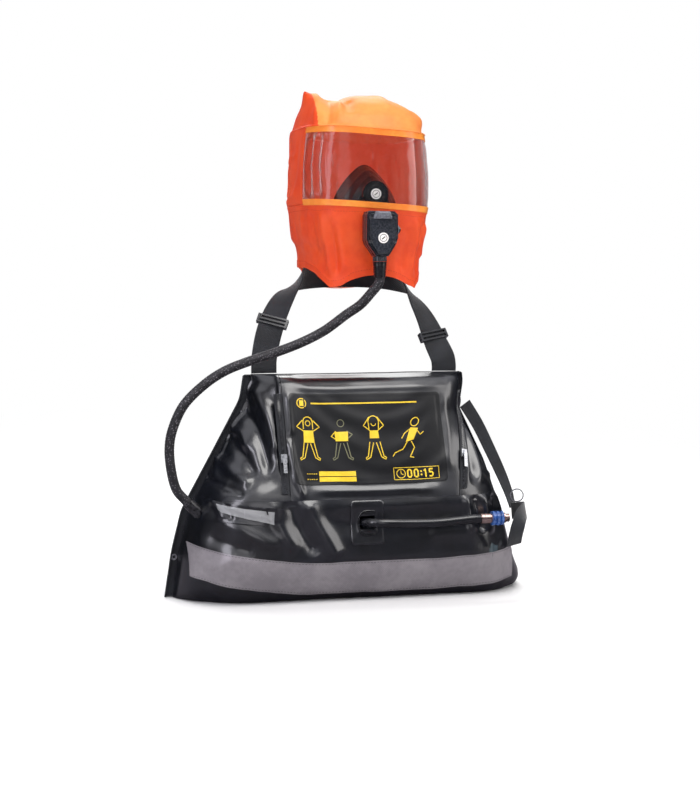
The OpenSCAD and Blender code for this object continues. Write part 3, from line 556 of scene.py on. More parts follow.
def capped_faces(rings, sides):
    """Faces of stacked rings, with a fan to a centre point at each end."""
    faces = grid_faces(rings, sides, True)
    first_centre, last = rings * sides, (rings - 1) * sides
    for j in range(sides):
        d = (j + 1) % sides
        faces.append([first_centre, d, j])
        faces.append([first_centre + 1, last + j, last + d])
    return faces


def tube_mesh(path, radius, sides=16, ref=(0, 1, 0), ripple=None, caps=True):
    """A tube along a path; ripple(run, angle) adds to the radius, ref sets where angle 0 is."""
    path = np.asarray(path, float)
    tangent = unit(np.gradient(path, axis=0))
    side = np.zeros_like(path)
    current = unit(np.cross(np.array(ref, float), tangent[0]))
    for i in range(len(path)):
        current = current - tangent[i] * (current @ tangent[i])
        current = current / max(np.linalg.norm(current), 1e-9)
        side[i] = current
    other = np.cross(tangent, side)
    radius = np.broadcast_to(np.asarray(radius, float), (len(path),))
    angle = 2 * np.pi * np.arange(sides) / sides
    run = run_length(path)
    reach = radius[:, None] + np.zeros((1, sides))
    if ripple is not None:
        reach = reach + ripple(run[:, None], angle[None, :])
    outward = (np.cos(angle)[None, :, None] * side[:, None]
               + np.sin(angle)[None, :, None] * other[:, None])
    verts = (path[:, None] + reach[..., None] * outward).reshape(-1, 3)
    uvs = uv_grid(angle * radius.mean(), run)
    if not caps:
        return verts, grid_faces(len(path), sides, True), uvs
    verts = np.concatenate([verts, path[:1], path[-1:]])
    uvs = np.concatenate([uvs, [[0, 0]], [[0, run[-1]]]])
    return verts, capped_faces(len(path), sides), uvs


def tube(name, path, radius, body, mat, sides=16, ref=(0, 1, 0), ripple=None,
         replaces=None, sharp=50):
    return build(name, tube_mesh(path, radius, sides, ref, ripple), body, mat,
                 replaces=replaces, sharp=sharp)


def loop_tube(name, path, radius, mat, body="hood", sides=10,
              ref=(0, 1, 0)):
    """A closed ring of round section along a loop whose first point isn't repeated."""
    path = np.asarray(path, float)
    tangent = unit(np.roll(path, -1, 0) - np.roll(path, 1, 0))
    side = unit(np.cross(np.broadcast_to(np.array(ref, float), path.shape), tangent))
    other = np.cross(tangent, side)
    angle = 2 * np.pi * np.arange(sides) / sides
    verts = path[:, None] + radius * (np.cos(angle)[None, :, None] * side[:, None]
                                      + np.sin(angle)[None, :, None] * other[:, None])
    total = len(path) * sides
    faces = [[v % total for v in f] for f in grid_faces(len(path) + 1, sides, True)]
    uvs = uv_grid(angle * radius, run_length(path))
    return build(name, (verts.reshape(-1, 3), faces, uvs), body, mat, sharp=60)


def punched_shell(grid, thick, centre, reach, front_y, wrap=False):
    """A shell with an opening in front of front_y.

    reach(offsets from centre in x, z) is 1 on the opening's outline and less inside it.
    """
    rows, cols = grid.shape[:2]
    normals = grid_normals(grid, wrap)
    quads = grid_faces(rows, cols, wrap)
    points = grid.reshape(-1, 3).copy()
    middles = points[np.array(quads)].mean(1)
    gone = (reach(middles[:, [0, 2]] - centre) < 1) & (middles[:, 1] < front_y)
    in_gone = set(i for q, g in zip(quads, gone) if g for i in q)
    in_kept = set(i for q, g in zip(quads, gone) if not g for i in q)
    rim = sorted(in_gone & in_kept)
    offset = points[rim][:, [0, 2]] - centre
    snapped = points[rim]
    snapped[:, [0, 2]] = centre + offset / reach(offset)[:, None]
    points[rim] = snapped
    verts, faces, uvs = shell_mesh(points.reshape(rows, cols, 3), thick, wrap, normals)
    k = len(quads)
    n = rows * cols
    out = [q for q, g in zip(faces[:k], gone) if not g]
    out += [q for q, g in zip(faces[k:2 * k], gone) if not g] + faces[2 * k:]
    kept_edges = set()
    for quad, g in zip(quads, gone):
        if not g:
            kept_edges.update(zip(quad, quad[1:] + quad[:1]))
    for quad, g in zip(quads, gone):
        if g:
            for a, b in zip(quad, quad[1:] + quad[:1]):
                if (b, a) in kept_edges:
                    out.append([a, b, n + b, n + a])
    return verts, out, uvs


def ribbon_frames(path, normals):
    """Side and face directions along a band."""
    tangent = unit(np.gradient(path, axis=0))
    side = unit(np.cross(normals, tangent))
    return side, np.cross(tangent, side)


# Half of the webbing's section, with a thick edge: share of half width, share of thickness
BAND_HALF = [(-0.985, .36), (-0.93, .5), (-0.86, .44), (-0.5, .47), (0, .48), (0.5, .47),
             (0.86, .44), (0.93, .5), (0.985, .36)]
BAND_SECTION = [(-1, 0)] + BAND_HALF + [(1, 0)] + [(a, -b) for a, b in BAND_HALF[::-1]]


def strap(name, path, normals, width, thick, body, replaces):
    """A flat webbing band with thickened edges."""
    side, face = ribbon_frames(path, normals)
    half = width / 2
    n = len(BAND_SECTION)
    verts = np.stack([path + side * (half * a) + face * (thick * b) for a, b in BAND_SECTION],
                     1)
    faces = grid_faces(len(path), n, True, flip=True)
    uvs = uv_grid(np.array([a * half for a, b in BAND_SECTION]), run_length(path))
    faces.append(list(range(n)))
    last = (len(path) - 1) * n
    faces.append([last + j for j in range(n)][::-1])
    build(name, (verts.reshape(-1, 3), faces, uvs), body, WEBBING,
          replaces=replaces, sharp=60)


def box(centre, axis_a, axis_b, axis_c, half_a, half_b, half_c):
    """A block as (verts, faces), with half sizes along three axes."""
    centre, a, b, c = (np.asarray(v, float) for v in (centre, axis_a, axis_b, axis_c))
    verts = [centre + i * half_a * a + j * half_b * b + k * half_c * c
             for i in (-1, 1) for j in (-1, 1) for k in (-1, 1)]
    faces = [[0, 1, 3, 2], [4, 6, 7, 5], [0, 4, 5, 1], [2, 3, 7, 6], [0, 2, 6, 4], [1, 5, 7, 3]]
    return np.array(verts), faces


def bead(centre, tangent, normal, length, radius):
    """A small elongated bead along the tangent, as (verts, faces)."""
    tangent, normal = unit(tangent), unit(normal)
    side = np.cross(tangent, normal)
    verts, faces = [], []
    for along, share in [(-1, .35), (-.6, .9), (0, 1), (.6, .9), (1, .35)]:
        for j in range(6):
            turn = 2 * np.pi * j / 6
            outward = normal * math.sin(turn) + side * math.cos(turn)
            verts.append(centre + tangent * along * length / 2 + outward * radius * share)
    for i in range(4):
        for j in range(6):
            d = (j + 1) % 6
            faces.append([i * 6 + j, (i + 1) * 6 + j, (i + 1) * 6 + d, i * 6 + d])
    faces.append([0, 1, 2, 3, 4, 5])
    faces.append([29, 28, 27, 26, 25, 24])
    return np.array(verts), faces


def join(parts):
    """Several (verts, faces) as one mesh without UVs."""
    verts, faces, offset = [], [], 0
    for part_verts, part_faces in parts:
        verts.append(np.asarray(part_verts, float))
        faces += [[i + offset for i in f] for f in part_faces]
        offset += len(part_verts)
    return np.concatenate(verts), faces, None


def stitches(name, path, normals, length, gap, radius, body="root",
             mat=THREAD, lift=0.15):
    """Thread stitches along a path that lies on a surface with these normals."""
    run = run_length(path)
    parts = []
    start = gap
    while start + length < run[-1]:
        middle = start + length / 2
        normal = sample(middle, run, normals)
        ahead = sample(middle + length / 2, run, path)
        behind = sample(middle - length / 2, run, path)
        centre = sample(middle, run, path) + unit(normal) * lift
        parts.append(bead(centre, ahead - behind, normal, length, radius))
        start += length + gap
    build(name, join(parts), body, mat, sharp=0)


# ============================================================ cloth simulation
def blur(field, passes, wrap=False):
    """Spreads a displacement over its neighbours, so folds stay and grid-size ripples go."""
    for _ in range(passes):
        wide = np.concatenate([field[:1], field, field[-1:]], 0)
        field = 0.25 * wide[:-2] + 0.5 * wide[1:-1] + 0.25 * wide[2:]
        first, last = field[:, :1], field[:, -1:]
        wide = np.concatenate([last, field, first] if wrap else [first, field, last], 1)
        field = 0.25 * wide[:, :-2] + 0.5 * wide[:, 1:-1] + 0.25 * wide[:, 2:]
    return field


def pin_edges(gap, width, middle):
    """Pin weights: 1 at the border, easing over width to at least the middle weight."""
    return np.maximum(1 - ease(0, width, gap), middle)


def settle(grid, pin, frames, grow, gravity, cap, bend, wrap=False):
    """Runs a cloth simulation on the grid and returns its settled shape.

    grow is the share by which the cloth expands, cap the longest move allowed.
    """
    rows, cols = grid.shape[:2]
    data = bpy.data.meshes.new("sim")
    data.from_pydata([tuple(v) for v in (grid.reshape(-1, 3) * MM)], [],
                     [tuple(f) for f in grid_faces(rows, cols, wrap)])
    obj = bpy.data.objects.new("sim", data)
    bpy.context.scene.collection.objects.link(obj)
    group = obj.vertex_groups.new(name="pin")
    for i, weight in enumerate(pin.reshape(-1)):
        if weight > 0.001:
            group.add([i], float(weight), "REPLACE")
    modifier = obj.modifiers.new("Cloth", "CLOTH")
    settings = dict(quality=6, mass=0.25, tension_stiffness=12.0, compression_stiffness=12.0,
                    shear_stiffness=6, bending_stiffness=bend, air_damping=2.0,
                    vertex_group_mass="pin", pin_stiffness=1.0, shrink_min=-grow,
                    shrink_max=-grow)
    for key, value in settings.items():
        setattr(modifier.settings, key, value)
    modifier.settings.effector_weights.gravity = gravity
    modifier.point_cache.frame_start = 1
    modifier.point_cache.frame_end = frames + 1
    scene = bpy.context.scene
    for frame_number in range(1, frames + 1):
        scene.frame_set(frame_number)
    settled = obj.evaluated_get(bpy.context.evaluated_depsgraph_get()).to_mesh()
    coords = np.zeros(len(settled.vertices) * 3, np.float32)
    settled.vertices.foreach_get("co", coords)
    move = coords.reshape(rows, cols, 3).astype(float) / MM - grid
    bpy.data.objects.remove(obj)
    scene.frame_set(1)
    move = np.where(np.isfinite(move), move, 0)
    size = np.linalg.norm(move, axis=2, keepdims=True)
    move = move * np.minimum(1, cap / np.maximum(size, 1e-6))
    free = 1 - np.clip(pin, 0, 1) ** 3
    return grid + blur(move, 5, wrap) * free[..., None]


# ============================================================ bag surfaces
# The bag's outline: z, x at the wearer's right (-X) and left (+X)
RIGHT_OUTLINE = [(0, -302), (66, -292), (127, -277), (214, -229), (286, -190), (325, -184)]
LEFT_OUTLINE = [(0, 238), (15, 243), (59, 226), (121, 210), (187, 186), (269, 146), (307, 152),
                (325, 150)]
# The front's side-on profile: station (0 foot, 1 seam, 2 top), depth towards -Y, z
PROFILE = np.array([
    (0, 4, 3.2), (0.08, 30, 0.8), (0.17, 62, 0), (0.27, 88, 6), (0.38, 108, 21), (0.5, 120, 43),
    (0.6, 124, 62), (0.75, 121.5, 92), (0.88, 116, 120), (1, 110, 148), (1.02, 109, 151.5),
    (1.7, 57.5, 298), (1.78, 50, 312), (1.85, 42, 318.5), (1.93, 25, 321.5), (2, 8, 322)])
# The stations over which z rises steadily: z, station
STATION_BY_Z = PROFILE[3:13][:, [2, 0]]


def smooth_table(table, width):
    """A finely sampled copy of a table, rounded off so that no kink shows."""
    table = np.array(table)
    keys = np.linspace(table[0, 0], table[-1, 0], 801)
    values = np.interp(keys, table[:, 0], table[:, 1])
    k = int(width / (keys[1] - keys[0]))
    kernel = np.hanning(2 * k + 3)[1:-1]
    kernel /= kernel.sum()
    pad = len(kernel) // 2
    padded = np.concatenate([2 * values[0] - values[pad:0:-1], values,
                             2 * values[-1] - values[-2:-pad - 2:-1]])
    return np.stack([keys, np.convolve(padded, kernel, "valid")], 1)


DEPTH = smooth_table(PROFILE[:, [0, 1]], 0.06)
HEIGHT = smooth_table(PROFILE[:, [0, 2]], 0.06)
RIGHT_EDGE, LEFT_EDGE = smooth_table(RIGHT_OUTLINE, 14), smooth_table(LEFT_OUTLINE, 10)
SHEET = 1.7  # thickness of the bag's fabric
SEAM = 1.0012  # station where flap and sides begin
FLAP_RIGHT = -138.0  # x of the flap's edge at the wearer's right


def bag_right(z):
    """x of the front's right-hand end, inside the back panel's edge."""
    return lookup(z, RIGHT_EDGE) + 11


def bag_left(z):
    return lookup(z, LEFT_EDGE) - 5


def flap_left(station):
    return 112 + (station - 1.02) / 0.98 * 28


def station_at(z):
    return lookup(z, STATION_BY_Z)


def bag_point(x, station, lift=0.0):
    """A point on the bag's plain front, lifted outwards."""
    x, station = np.broadcast_arrays(np.asarray(x, float), np.asarray(station, float))
    before, after = station - 0.02, station + 0.02
    depth_step = lookup(after, DEPTH) - lookup(before, DEPTH)
    z_step = lookup(after, HEIGHT) - lookup(before, HEIGHT)
    size = np.hypot(depth_step, z_step)
    out_y, out_z = z_step / size, -depth_step / size
    z, depth = lookup(station, HEIGHT), lookup(station, DEPTH)
    across = np.clip((x - bag_right(z)) / (bag_left(z) - bag_right(z)), 0, 1)
    puff = np.maximum(1 - np.abs(2 * across - 1) ** 8, 0) ** 0.7
    return np.stack([x, -(4 + (depth - 4) * puff) - lift * (out_y * puff + (1 - puff)),
                     z + lift * out_z * puff], -1)


class Surface:
    """A fine grid that other pieces lie on."""

    def __init__(self, grid):
        self.grid = grid
        self.normals = grid_normals(grid)
        self.rows, self.cols = grid.shape[:2]

    def at(self, row, col, lift=0.0, normal=False):
        """Point (and normal) at row and column shares 0..1, lifted along the normal."""
        row, col = np.broadcast_arrays(np.asarray(row, float), np.asarray(col, float))
        row = np.clip(row, 0, 1) * (self.rows - 1)
        col = np.clip(col, 0, 1) * (self.cols - 1)
        i = np.minimum(row.astype(int), self.rows - 2)
        j = np.minimum(col.astype(int), self.cols - 2)
        a, b = (row - i)[..., None], (col - j)[..., None]

        def between(values):
            return (values[i, j] * (1 - a) * (1 - b) + values[i + 1, j] * a * (1 - b)
                    + values[i, j + 1] * (1 - a) * b + values[i + 1, j + 1] * a * b)

        out = unit(between(self.normals))
        point = between(self.grid) + out * np.asarray(lift, float)[..., None]
        return (point, out) if normal else point


# ---------- lower front sheet, with an opening for the airline hose
# Folds: width, height, then the (x, z) points they run through
LOWER_FOLDS = [
    (13, 7.0, (-120, 160), (-108, 128), (-94, 104), (-80, 80), (-70, 62)),
    (10, -5.0, (-142, 158), (-130, 124), (-116, 94), (-100, 70)),
    (10, 3.4, (-168, 156), (-156, 120), (-144, 96), (-128, 76)),
    (10, 3.2, (-255, 128), (-215, 112), (-175, 92), (-150, 84)),
    (9, -2.8, (-262, 100), (-225, 88), (-190, 78)),
    (7, 5.4, (120, 158), (124, 132), (128, 112), (134, 92)),
    (6, -5.0, (136, 156), (140, 132), (146, 110), (152, 92)),
    (6.5, 5.0, (151, 156), (156, 130), (162, 110), (170, 90)),
    (6, -3.4, (172, 148), (178, 128), (186, 108)),
    (6, 3.0, (188, 144), (192, 124), (200, 100)),
    (10, 1.6, (-80, 140), (-20, 136), (40, 138), (92, 142)),
    (14, -1.4, (-70, 120), (-40, 106), (0, 98), (50, 98)),
    (11, 1.5, (60, 96), (100, 100), (150, 92)),
    (9, 2.4, (-262, 52), (-240, 60), (-215, 74)),
    (8, 2.6, (206, 50), (196, 62), (180, 76)),
]
SLOT_CENTRE = np.array([-28.0, 114.0])  # x, z
SLOT_HALF = np.array([10.4, 9.3])


def lower_surface():
    up, across = grid_params(64, 176)
    z = lookup(up, HEIGHT)
    x = bag_right(z) + (bag_left(z) - bag_right(z)) * across
    folds = (ridges(x, z, LOWER_FOLDS) + 0.9 * noise_flat(x, z * 0.6, 46, 3)
             + 0.35 * noise_flat(x, z * 0.6, 15, 5))
    fade = fade_ends(across, 0.05, 0.04) * ease(0, 0.12, up) * ease(-0.02, 0.06, 1 - up)
    grid = bag_point(x, up)
    grid = grid + grid_normals(grid) * (folds * fade)[..., None]
    gap = least(1.5 * across, 1.5 * (1 - across), up, 1 - up)
    grid = settle(grid, pin_edges(gap, 0.10, 0.02), frames=14, grow=0.022, gravity=0.6,
                  cap=5.0, bend=0.6)
    grid[..., 2] = np.maximum(grid[..., 2], 0.2)
    return Surface(refine_grid(grid))


LOWER = lower_surface()


def on_lower(x, z, lift=0.0, normal=False):
    x, z = np.asarray(x, float), np.asarray(z, float)
    across = (x - bag_right(z)) / (bag_left(z) - bag_right(z))
    return LOWER.at(station_at(z), across, lift, normal)


build("bag_front_lower_sheet",
      punched_shell(LOWER.grid, SHEET, SLOT_CENTRE,
                    lambda offset: (np.abs(offset) / SLOT_HALF).max(-1), front_y=-90),
      "root", COATED, replaces="bag_front_lower")

# ---------- flap
FLAP_FOLDS = [
    (5.5, 3.4, (-136, 236), (-133, 204), (-127, 174), (-119, 148)),
    (6, -1.2, (-110, 152), (-20, 150), (60, 152)),
    (5, 2.0, (-130, 300), (-131, 262), (-132, 236)),
    (6, 1.8, (106, 300), (104, 240), (100, 180)),
    (4, 1.2, (-130, 306), (-60, 304), (20, 305), (120, 306)),
    (5, 1.4, (-110, 160), (0, 158), (90, 160)),
]


def flap_surface():
    station, across = grid_params(60, 84, SEAM, 2.0)
    x = FLAP_RIGHT + (flap_left(station) - FLAP_RIGHT) * across
    z = lookup(station, HEIGHT)
    grid = bag_point(x, station)
    folds = 0.8 * noise_flat(x, z, 55, 9) + ridges(x, z, FLAP_FOLDS)
    grid = grid + grid_normals(grid) * (folds * fade_ends(across, 0.02))[..., None]
    gap = least(across, 1 - across, station - SEAM, 2 - station)
    grid = settle(grid, pin_edges(gap, 0.12, 0.15), frames=10, grow=0.01, gravity=0.5,
                  cap=2.5, bend=1.0)
    return Surface(refine_grid(grid))


FLAP = flap_surface()
shell("bag_flap_sheet", FLAP.grid, SHEET, "flap", COATED, replaces="flap_panel")


def on_flap(x, z, lift):
    station = station_at(z)
    return FLAP.at((station - SEAM) / (2.0 - SEAM),
                   (x - FLAP_RIGHT) / (flap_left(station) - FLAP_RIGHT), lift)


# ---------- side sheets, with deep pulled folds
RIGHT_FOLDS = [
    (9, 7.0, (-174, 314), (-168, 290), (-160, 262), (-155, 236), (-152, 205)),
    (4.5, -3.2, (-154, 296), (-150, 262), (-147, 228), (-146, 176)),
    (7, -6.0, (-186, 304), (-184, 268), (-174, 226), (-166, 182)),
    (7, 4.6, (-192, 284), (-200, 250), (-192, 214)),
    (8, -4.5, (-206, 244), (-200, 214), (-186, 182)),
    (9, 4.5, (-228, 208), (-216, 190), (-192, 168)),
    (6, -3.5, (-246, 178), (-226, 166), (-200, 156)),
    (4, -2.5, (-150, 250), (-146, 215), (-144, 180)),
]
LEFT_FOLDS = [
    (5, 6.2, (141, 300), (136, 262), (133, 220), (129, 156)),
    (4.5, -5.6, (147, 290), (145, 252), (143, 215), (140, 158)),
    (5, 5.8, (146, 266), (149, 232), (152, 200), (152, 156)),
    (5, -4.0, (156, 240), (164, 208), (172, 170)),
    (5, 3.5, (166, 218), (176, 188), (184, 160)),
]


def side_sheet(side, folds):
    station, across = grid_params(60, 48, SEAM, 2.0)
    z = lookup(station, HEIGHT)
    # columns crowd towards the bag's outer edge
    if side == "right":
        start, end = bag_right(z), FLAP_RIGHT - 0.9
        share = 1 - np.cos(np.pi / 2 * across)
    else:
        start, end = flap_left(station) + 0.9, bag_left(z)
        share = np.sin(np.pi / 2 * across)
    x = start + (end - start) * share
    grid = bag_point(x, station)
    bumps = ridges(x, z, folds) + 1.0 * noise_flat(x, z, 34, 21)
    fade = (fade_ends(across, 0.06) * ease(-0.005, 0.05, station - SEAM)
            * ease(-0.01, 0.05, 2 - station))
    grid = grid + grid_normals(grid) * (bumps * fade)[..., None]
    gap = least(across, 1 - across, station - SEAM, 2 - station)
    grid = settle(grid, pin_edges(gap, 0.14, 0.03), frames=14, grow=0.03, gravity=0.6,
                  cap=5.0, bend=0.4)
    shell(f"bag_side_{side}_sheet", refine_grid(grid), SHEET, "root", COATED,
          replaces=f"bag_side_{side}")


side_sheet("right", RIGHT_FOLDS)
side_sheet("left", LEFT_FOLDS)


def seam_underlay():
    """A layer behind the seam of lower sheet, sides and flap, so that no gap shows."""
    station, across = grid_params(8, 150, 0.965, 1.04)
    z = lookup(station, HEIGHT)
    x = bag_right(z) + 2 + (bag_left(z) - bag_right(z) - 4) * across
    shell("bag_seam_underlay", bag_point(x, station, -2.6), 0.8, "root", COATED)


seam_underlay()

# ---------- reflective strip across the lower front, with stitched edges
STRIP_HEIGHT = 46


def strip_top(x):
    right = 60 + 28 * (np.maximum(-100 - x, 0) / 190) ** 1.4
    return np.where(x < -100, right, np.where(x > 80, 60 + 8 * (x - 80) / 150, 60.0))


def reflective_strip():
    up, across = grid_params(18, 220)
    x = -273 + 481 * across
    z = strip_top(x) - STRIP_HEIGHT * (1 - up) + 0.8 * noise_flat(x, 0 * x, 60, 31)
    from_edge = np.minimum(up, 1 - up)
    lift = (1.35 + 0.315 * bell(from_edge * STRIP_HEIGHT, 1.6)
            + 0.35 * noise_flat(x, z * 2, 30, 33) * ease(0, 0.1, from_edge))
    shell("reflective_strip_tape", on_lower(x, z, lift), 0.9, "root",
          REFLECTIVE, replaces="reflective_strip")
    for edge, share in (("top", 0.955), ("bottom", 0.045)):
        x = np.linspace(-270, 205, 300)
        path, normals = on_lower(x, strip_top(x) - STRIP_HEIGHT * (1 - share), 1.5, True)
        stitches("strip_stitch_" + edge, path, normals, length=3.2, gap=1.6, radius=0.28)


reflective_strip()


# ---------- patch round the hose slot
def rounded_rect(centre, half_x, half_z, radius):
    """Outline of a rounded rectangle, 14 points to a corner and 10 along each side."""
    corners = [(1, 1), (-1, 1), (-1, -1), (1, -1)]
    out = []

    def corner_point(k, degrees):
        side_x, side_z = corners[k % 4]
        turn = math.radians(degrees)
        return (centre[0] + side_x * (half_x - radius) + radius * math.cos(turn),
                centre[1] + side_z * (half_z - radius) + radius * math.sin(turn))

    for k in range(4):
        out += [corner_point(k, 90 * k + 90 * j / 13) for j in range(14)]
        start, end = out[-1], corner_point(k + 1, 90 * k + 90)
        for t in np.linspace(0, 1, 12)[1:-1]:
            out.append((start[0] * (1 - t) + end[0] * t, start[1] * (1 - t) + end[1] * t))
    return np.array(out)


# Patch rings: share of the way from the inner to the outer outline, lift off the sheet
PATCH_RINGS = [(0, 2.6), (0.06, 2.9), (0.15, 2.3), (0.3, 1.75), (0.5, 1.7), (0.7, 1.75),
               (0.86, 1.9), (0.93, 2.1), (1.0, 1.5)]
# Hem on the slot's -X edge: x, z
SLOT_HEM = [(-17.5, 130.6), (-28, 131.6), (-36, 129.6), (-40.4, 123), (-41, 114), (-40.4, 105),
            (-36, 98.4), (-28, 96.4), (-17.5, 97.4)]


def slot_patch():
    inner = rounded_rect(SLOT_CENTRE, *(SLOT_HALF + 1), 3)
    outer = rounded_rect(SLOT_CENTRE, 24, 31, 5)

    def outline(share):
        return inner * (1 - share) + outer * share

    grid = np.stack([on_lower(*outline(share).T, lift) for share, lift in PATCH_RINGS])
    shell("hose_slot_patch", grid[:, ::-1], 1.0, "root", COATED, wrap=True,
          replaces="hose_patch")
    for name, share in (("inner", 0.24), ("outer", 0.88)):
        loop = outline(share)
        loop = np.concatenate([loop, loop[:1]])
        path, normals = on_lower(loop[:, 0], loop[:, 1], 1.95, True)
        stitches("patch_stitch_" + name, path, normals, length=2.4, gap=1.3, radius=0.25)
    hem = refine(SLOT_HEM, 6)
    tube("slot_turned_hem", on_lower(hem[:, 0], hem[:, 1], 2.6), 1.3, "root",
         GLOSS, sides=12)


slot_patch()

# ---------- label on the flap, with its welded border
LABEL_LOW, LABEL_HIGH = np.array([-130.0, 169.0]), np.array([97.0, 297.0])  # x, z
LABEL_CORNER = 6


def label_surface():
    up, across = grid_params(54, 90)
    place = LABEL_LOW + (LABEL_HIGH - LABEL_LOW) * np.stack([across, up], -1)
    centre, half = (LABEL_LOW + LABEL_HIGH) / 2, (LABEL_HIGH - LABEL_LOW) / 2
    # points in the square corners are drawn in to a round one
    offset = place - centre
    straight = half - LABEL_CORNER
    over = np.maximum(np.abs(offset) - straight, 0)
    reach = np.hypot(over[..., 0], over[..., 1])
    pull = np.where(reach > LABEL_CORNER, LABEL_CORNER / np.maximum(reach, 1e-6), 1)
    offset = np.sign(offset) * (np.minimum(np.abs(offset), straight) + over * pull[..., None])
    x, z = np.moveaxis(centre + offset, -1, 0)
    edge = (half - np.abs(offset)).min(-1)
    # a raised bead and a groove run inside the edge
    lift = (1.05 + 0.55 * bell(edge - 3.6, 0.9) - 0.5 * bell(edge - 5.6, 0.8)
            + 0.25 * noise_flat(x, z, 32, 41))
    return Surface(on_flap(x, z, lift))


LABEL_FACE = label_surface()
shell("instruction_label_film", LABEL_FACE.grid, 0.75, "flap", LABEL,
      replaces="instruction_label")


def on_label(x, z, lift):
    (low_x, low_z), (high_x, high_z) = LABEL_LOW, LABEL_HIGH
    return LABEL_FACE.at((z - low_z) / (high_z - low_z), (x - low_x) / (high_x - low_x), lift)


# ---------- print on the label, drawn in x, z
def stroke(points, width, closed=False, step=2.0):
    """A printed line, as a grid two points wide."""
    points = [np.array(p, float) for p in points]
    if closed:
        points = points + [points[0]]
    path = []
    for a, b in zip(points[:-1], points[1:]):
        k = max(1, int(np.linalg.norm(b - a) / step))
        for j in range(k):
            path.append(a + (b - a) * j / k)
    path.append(points[-1])
    path = np.array(path)
    tangent = unit(np.gradient(path, axis=0))
    if closed:
        tangent[0] = tangent[-1] = unit(path[1] - path[-2])
    side = np.stack([-tangent[:, 1], tangent[:, 0]], 1)
    return np.stack([path - side * width / 2, path + side * width / 2], 1)


def fill(corners, rows=8, cols=8):
    """A filled four-sided patch."""
    a, b, c, d = (np.array(p, float) for p in corners)
    s, t = np.meshgrid(np.linspace(0, 1, cols), np.linspace(0, 1, rows))
    s, t = s[..., None], t[..., None]
    return a * (1 - s) * (1 - t) + b * s * (1 - t) + c * s * t + d * (1 - s) * t


def rect(low_x, low_z, high_x, high_z):
    return [(low_x, low_z), (high_x, low_z), (high_x, high_z), (low_x, high_z)]


def arc(x, z, radius, start, end, n=18):
    turns = [math.radians(start + (end - start) * i / n) for i in range(n + 1)]
    return [(x + radius * math.cos(turn), z + radius * math.sin(turn)) for turn in turns]


def print_piece(name, shapes, mat):
    parts = []
    for shape in shapes:
        x, z = shape[..., 0], shape[..., 1]
        top, under = on_label(x, z, 0.18), on_label(x, z, -0.06)
        out = on_label(x.mean(), z.mean(), 1) - on_label(x.mean(), z.mean(), 0)
        if (grid_normals(top) * out).sum() < 0:
            top, under = top[:, ::-1], under[:, ::-1]
        parts.append((np.concatenate([top.reshape(-1, 3), under.reshape(-1, 3)]),
                      shell_faces(*top.shape[:2], False)))
    build(name, join(parts), "flap", mat, sharp=30)


yellow, grey = [], []


def draw_figure(mid_x, foot_z, pose):
    """A line figure of a person about 62 mm tall; pose 3 walks and leans forward."""
    lean = 0.30 if pose == 3 else 0.0

    def at(points):
        return [(mid_x + a + lean * (b - 26), foot_z + b) for a, b in points]

    def line(points, closed=False, width=1.25, ink=yellow):
        ink.append(stroke(at(points), width, closed))

    def torso(*corners):
        yellow.append(fill(at(corners)))

    if pose == 3:
        line(arc(6, 52, 6, 0, 360), closed=True)
        torso((-2, 24), (9, 27), (13, 43), (1, 44))
        line([(12, 40), (18, 34), (22, 38)])
        line([(1, 42), (-6, 36), (-9, 29)])
        line([(6, 25), (13, 16), (9, 3), (15, 2)])
        line([(0, 24), (-4, 14), (-15, 9), (-17, 4)])
        return
    if pose == 0:
        line([(-7, 44), (-7, 54)] + arc(0, 54, 7, 180, 0, 10) + [(7, 54), (7, 44)])
        line(arc(0, 52, 3.6, 0, 360), closed=True, width=1.0)
        torso((-8, 25), (8, 25), (7, 42), (-7, 42))
        line([(-7, 41), (-17, 47), (-8, 56)])
        line([(7, 41), (17, 47), (8, 56)])
    elif pose == 1:
        line(arc(0, 52, 5, 0, 360), closed=True, width=1.0, ink=grey)
        torso((-9, 27), (9, 27), (10, 40), (-10, 40))
        line([(-8, 41), (-15, 34), (-9, 30)])
        line([(8, 41), (16, 36), (10, 31)], ink=grey)
    else:
        line([(-7, 43), (-8, 56)] + arc(0, 54, 7.5, 170, 10, 9) + [(8, 56), (7, 43)])
        line(arc(0, 51, 3.4, 180, 360, 10), width=1.0)
        torso((-7, 30), (7, 30), (6, 41), (-6, 41))
        line([(-6, 41), (-15, 48), (-6, 60)])
        line([(6, 41), (15, 48), (6, 60)])
    for side in (-1, 1):
        leg = [(2, 24), (8, 4), (14, 0.5), (15, 3), (11.5, 5), (7.5, 25)]
        line([(side * a, b) for a, b in leg], ink=grey if pose == 1 else yellow)


def draw_digit(char, x, z):
    """One character of the timer, 10.4 high and 5.6 wide."""
    high, wide, pen = 10.4, 5.6, 2.1
    top, right = z + high, x + wide
    if char == ":":
        for share in (0.28, 0.72):
            middle = z + high * share
            yellow.append(fill(rect(x, middle - 1.1, x + 2.2, middle + 1.1), 3, 3))
        return
    points = {
        "0": [(x + 1.6, z), (right - 1.6, z), (right, z + 2), (right, top - 2),
              (right - 1.6, top), (x + 1.6, top), (x, top - 2), (x, z + 2)],
        "1": [(x + 0.4, top - 2.6), (x + 3, top - 0.2), (x + 3, z - 0.8)],
        "5": [(right, top), (x + 0.6, top), (x + 0.2, z + high * 0.58),
              (right - 1.6, z + high * 0.6), (right, z + high * 0.42), (right - 0.2, z + 1.6),
              (right - 1.8, z), (x, z + 0.4)],
    }[char]
    yellow.append(stroke(points, pen, char == "0", 1.2))


for i in range(4):
    draw_figure(-105 + 48.5 * i, 203, i)
